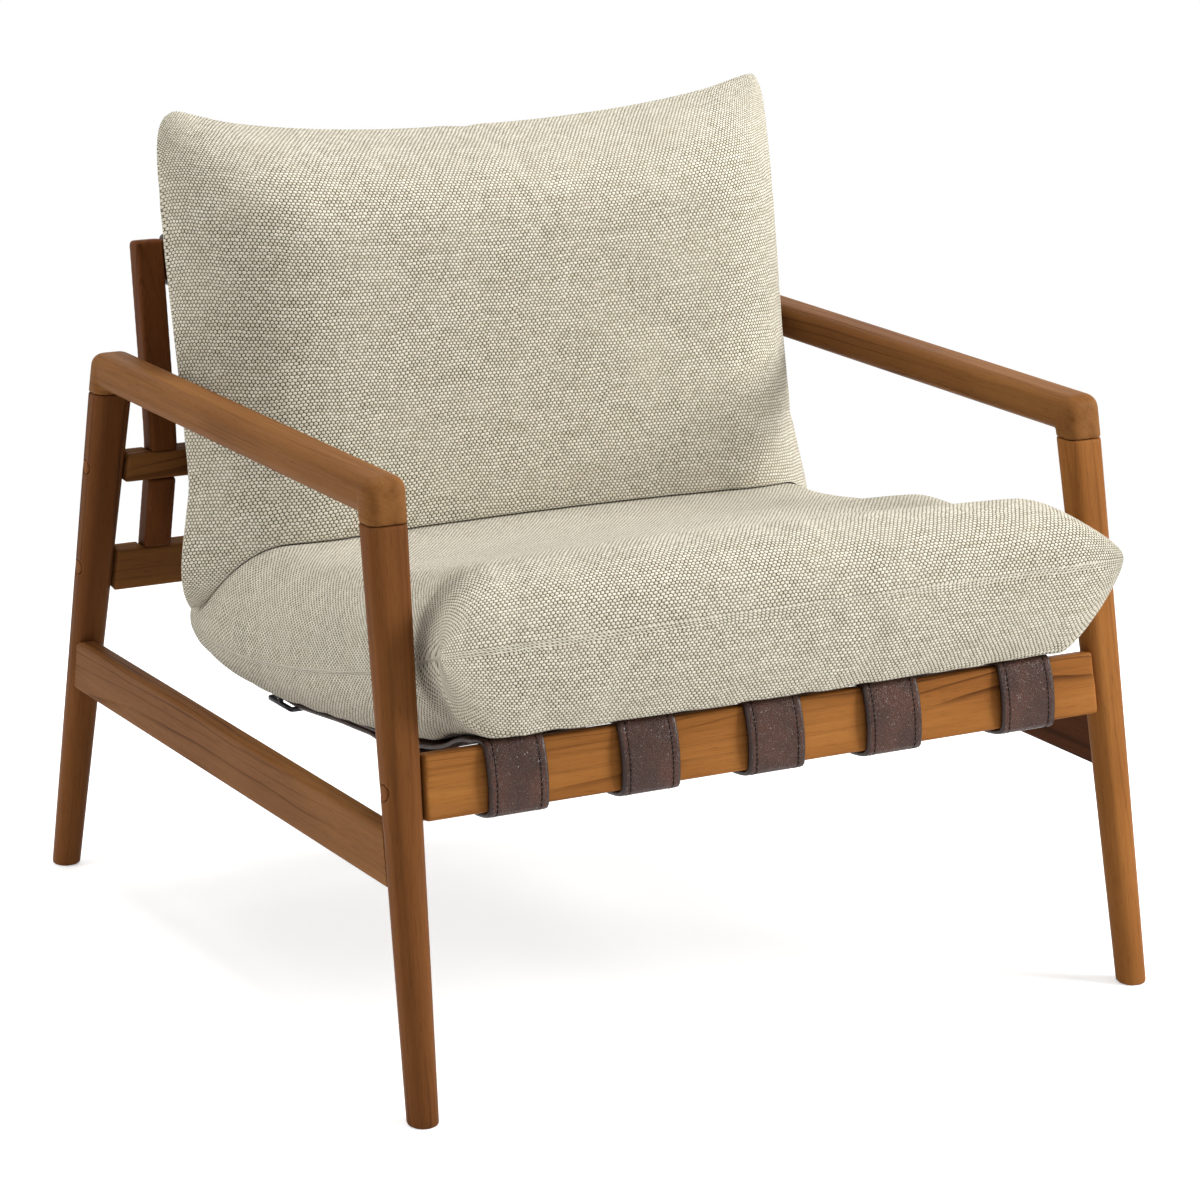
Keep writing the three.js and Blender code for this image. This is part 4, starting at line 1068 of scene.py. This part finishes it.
def inflated(data, cap):
    """The points after a short cloth simulation under pressure, none moved beyond cap."""
    start = points_of(data)
    body = bpy.data.objects.new("cloth", data.copy())
    bpy.context.scene.collection.objects.link(body)
    cloth = body.modifiers.new("cloth", "CLOTH")
    for key, value in CLOTH_SETTINGS.items():
        setattr(cloth.settings, key, value)
    cloth.settings.effector_weights.gravity = 0
    cloth.collision_settings.use_collision = False
    scene = bpy.context.scene
    for step in range(1, CLOTH_FRAMES + 1):
        scene.frame_set(step)
    graph = bpy.context.evaluated_depsgraph_get()
    swollen = points_of(body.evaluated_get(graph).data)
    bpy.data.objects.remove(body)
    scene.frame_set(1)
    move = swollen - start
    length = np.linalg.norm(move, axis=1)
    factor = cap * np.tanh(length / cap) / np.maximum(length, 1e-9)
    return start + move * factor[:, None]


def neighbour_mean(data, values, rounds):
    """Each point's values averaged with its neighbours', several times over."""
    pairs = np.empty(len(data.edges) * 2, np.int32)
    data.edges.foreach_get("vertices", pairs)
    first, second = pairs.reshape(-1, 2).T
    degree = np.bincount(pairs, minlength=len(values))[:, None]
    for _ in range(rounds):
        total = np.stack([
            np.bincount(first, column[second], len(values))
            + np.bincount(second, column[first], len(values)) for column in values.T
        ], -1)
        values = (values + total / degree) / 2
    return values


def lifted_off(points, below, gap):
    """Points that lie under the top of another cushion, moved up onto it."""
    tree = BVHTree.FromPolygons([v.co for v in below.vertices],
                                [list(f.vertices) for f in below.polygons])
    out = points.copy()
    for number, (x, y, z) in enumerate(points):
        spot = tree.ray_cast(Vector((x, y, 1)), Vector((0, 0, -1)))[0]
        if spot is not None and z < spot.z + gap:
            out[number, 2] = spot.z + gap
    return out


def make_cushion(node, body, grids, upwards, material, below=None):
    """A padded cushion, with the simulation's fine folds but without its broad swelling."""
    points, weave, faces = closed_sheets(grids, upwards, below is None)
    pad = mesh_from(node + "_pad", points, faces)
    move = inflated(pad, CUSHION_CAP) - points
    broad = neighbour_mean(pad, move, FOLD_ROUNDS)
    points = points + (move - broad) * FOLD_SHARE
    move_points(pad, points)
    if below:
        move_points(pad, lifted_off(points, below.data, CUSHION_GAP))
    set_attribute(pad, "weave", weave)
    pad = modified(pad, ("SUBSURF", {"levels": 1, "render_levels": 1}))
    pad.name = node + "_fabric"
    smooth_faces(pad)
    cover(pad, material)
    piece = new_object(node + "_fabric", pad, body)
    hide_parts(node)
    return piece


# Scene: camera, floor, lamps and surroundings

make_camera()

floor_corners = [(x * FLOOR_HALF, y * FLOOR_HALF, 0)
                 for x, y in ((-1, -1), (1, -1), (1, 1), (-1, 1))]
floor_data = mesh_from("floor", floor_corners, [(0, 1, 2, 3)])
cover(floor_data, stage_finish())
floor = new_object("floor", floor_data, None)

for name, (place, size, watts) in LAMPS.items():
    area_light(name, place, size, watts)

world = bpy.data.worlds.new("world")
world.use_nodes = True
bpy.context.scene.world = world
surroundings = Nodes(world.node_tree)
strength = surroundings.node("ShaderNodeMapRange", {}, {
    "Value": surroundings.seen_directly(), "To Min": WORLD_STRENGTH, "To Max": 1})
background = world.node_tree.nodes["Background"]
surroundings.plug(WHITE, background.inputs["Color"])
surroundings.plug(strength, background.inputs["Strength"])

# Scene: finishes

pale_teak = wood_finish("pale_teak", rgb(166, 110, 56), rgb(140, 88, 42), rgb(66, 35, 16), 0.75)
quiet_teak = wood_finish("quiet_teak", rgb(160, 106, 55), rgb(134, 84, 41), rgb(66, 35, 16), 0.4)
leg_teak = wood_finish("leg_teak", rgb(122, 77, 41), rgb(99, 59, 30), rgb(44, 23, 10), 0.7)
teak = wood_finish("teak", rgb(134, 90, 49), rgb(112, 71, 36), rgb(52, 28, 13), 0.65)
dark_teak = wood_finish("dark_teak", rgb(110, 65, 34), rgb(86, 47, 23), rgb(36, 18, 8), 0.7)
plug_wood = wood_finish("teak_plug", rgb(140, 88, 46), rgb(112, 66, 32), rgb(58, 30, 14), 0.5)
leather = leather_finish("brown_leather", rgb(92, 53, 36), rgb(68, 37, 25), rgb(20, 9, 5))
thread = thread_finish("waxed_thread", rgb(12, 9, 8), rgb(34, 24, 20))
metal = metal_finish("black_metal", rgb(48, 48, 50), 0.34)
steel = metal_finish("steel", rgb(150, 150, 152), 0.35)
fabric = fabric_finish("basket_weave", rgb(226, 220, 203), rgb(203, 195, 174), rgb(56, 48, 28))

# Scene: wood, straps, buckles, hidden fastenings and cushions

WOODS = {
    "front_leg_left": leg_teak, "front_leg_right": quiet_teak,
    "rear_leg_left": leg_teak, "rear_leg_right": teak,
    "armrest_left": teak, "armrest_right": teak,
    "side_rail_left": teak, "side_rail_right": dark_teak,
    "back_post_left": dark_teak, "back_post_right": dark_teak,
    "front_rail": pale_teak, "upper_back_rail": teak, "lower_back_rail": teak,
    "top_rail": dark_teak,
}
PLUG_NODES = [f"plug_{place}_{side}" for place in ("front", "upper_back", "lower_back")
              for side in ("left", "right")]
for seed, (node, material) in enumerate(WOODS.items()):
    make_wood(node, seed, material)
for seed, node in enumerate(PLUG_NODES, PLUG_SEED):
    make_wood(node, seed, plug_wood, PLUG_VOXEL)

outlines = [make_strap(number, leather, thread) for number in STRAP_NUMBERS]
for number in STRAP_NUMBERS:
    make_buckle(number, metal)

for node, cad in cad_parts.items():
    if "bolt" in node or "barrel_nut" in node:
        cover(cad.data, steel)
    elif "tenon" in node:
        cover(cad.data, plug_wood)

sling = outlines[MIDDLE_STRAP][:, 1:]
seat = make_cushion("seat_cushion", "seat_cushion", seat_grids(sling), (0, 1, 0), fabric)
back_upwards = (0, math.sin(BACK_TILT), math.cos(BACK_TILT))
make_cushion("back_cushion", "back_cushion", back_grids(sling), back_upwards, fabric, seat)
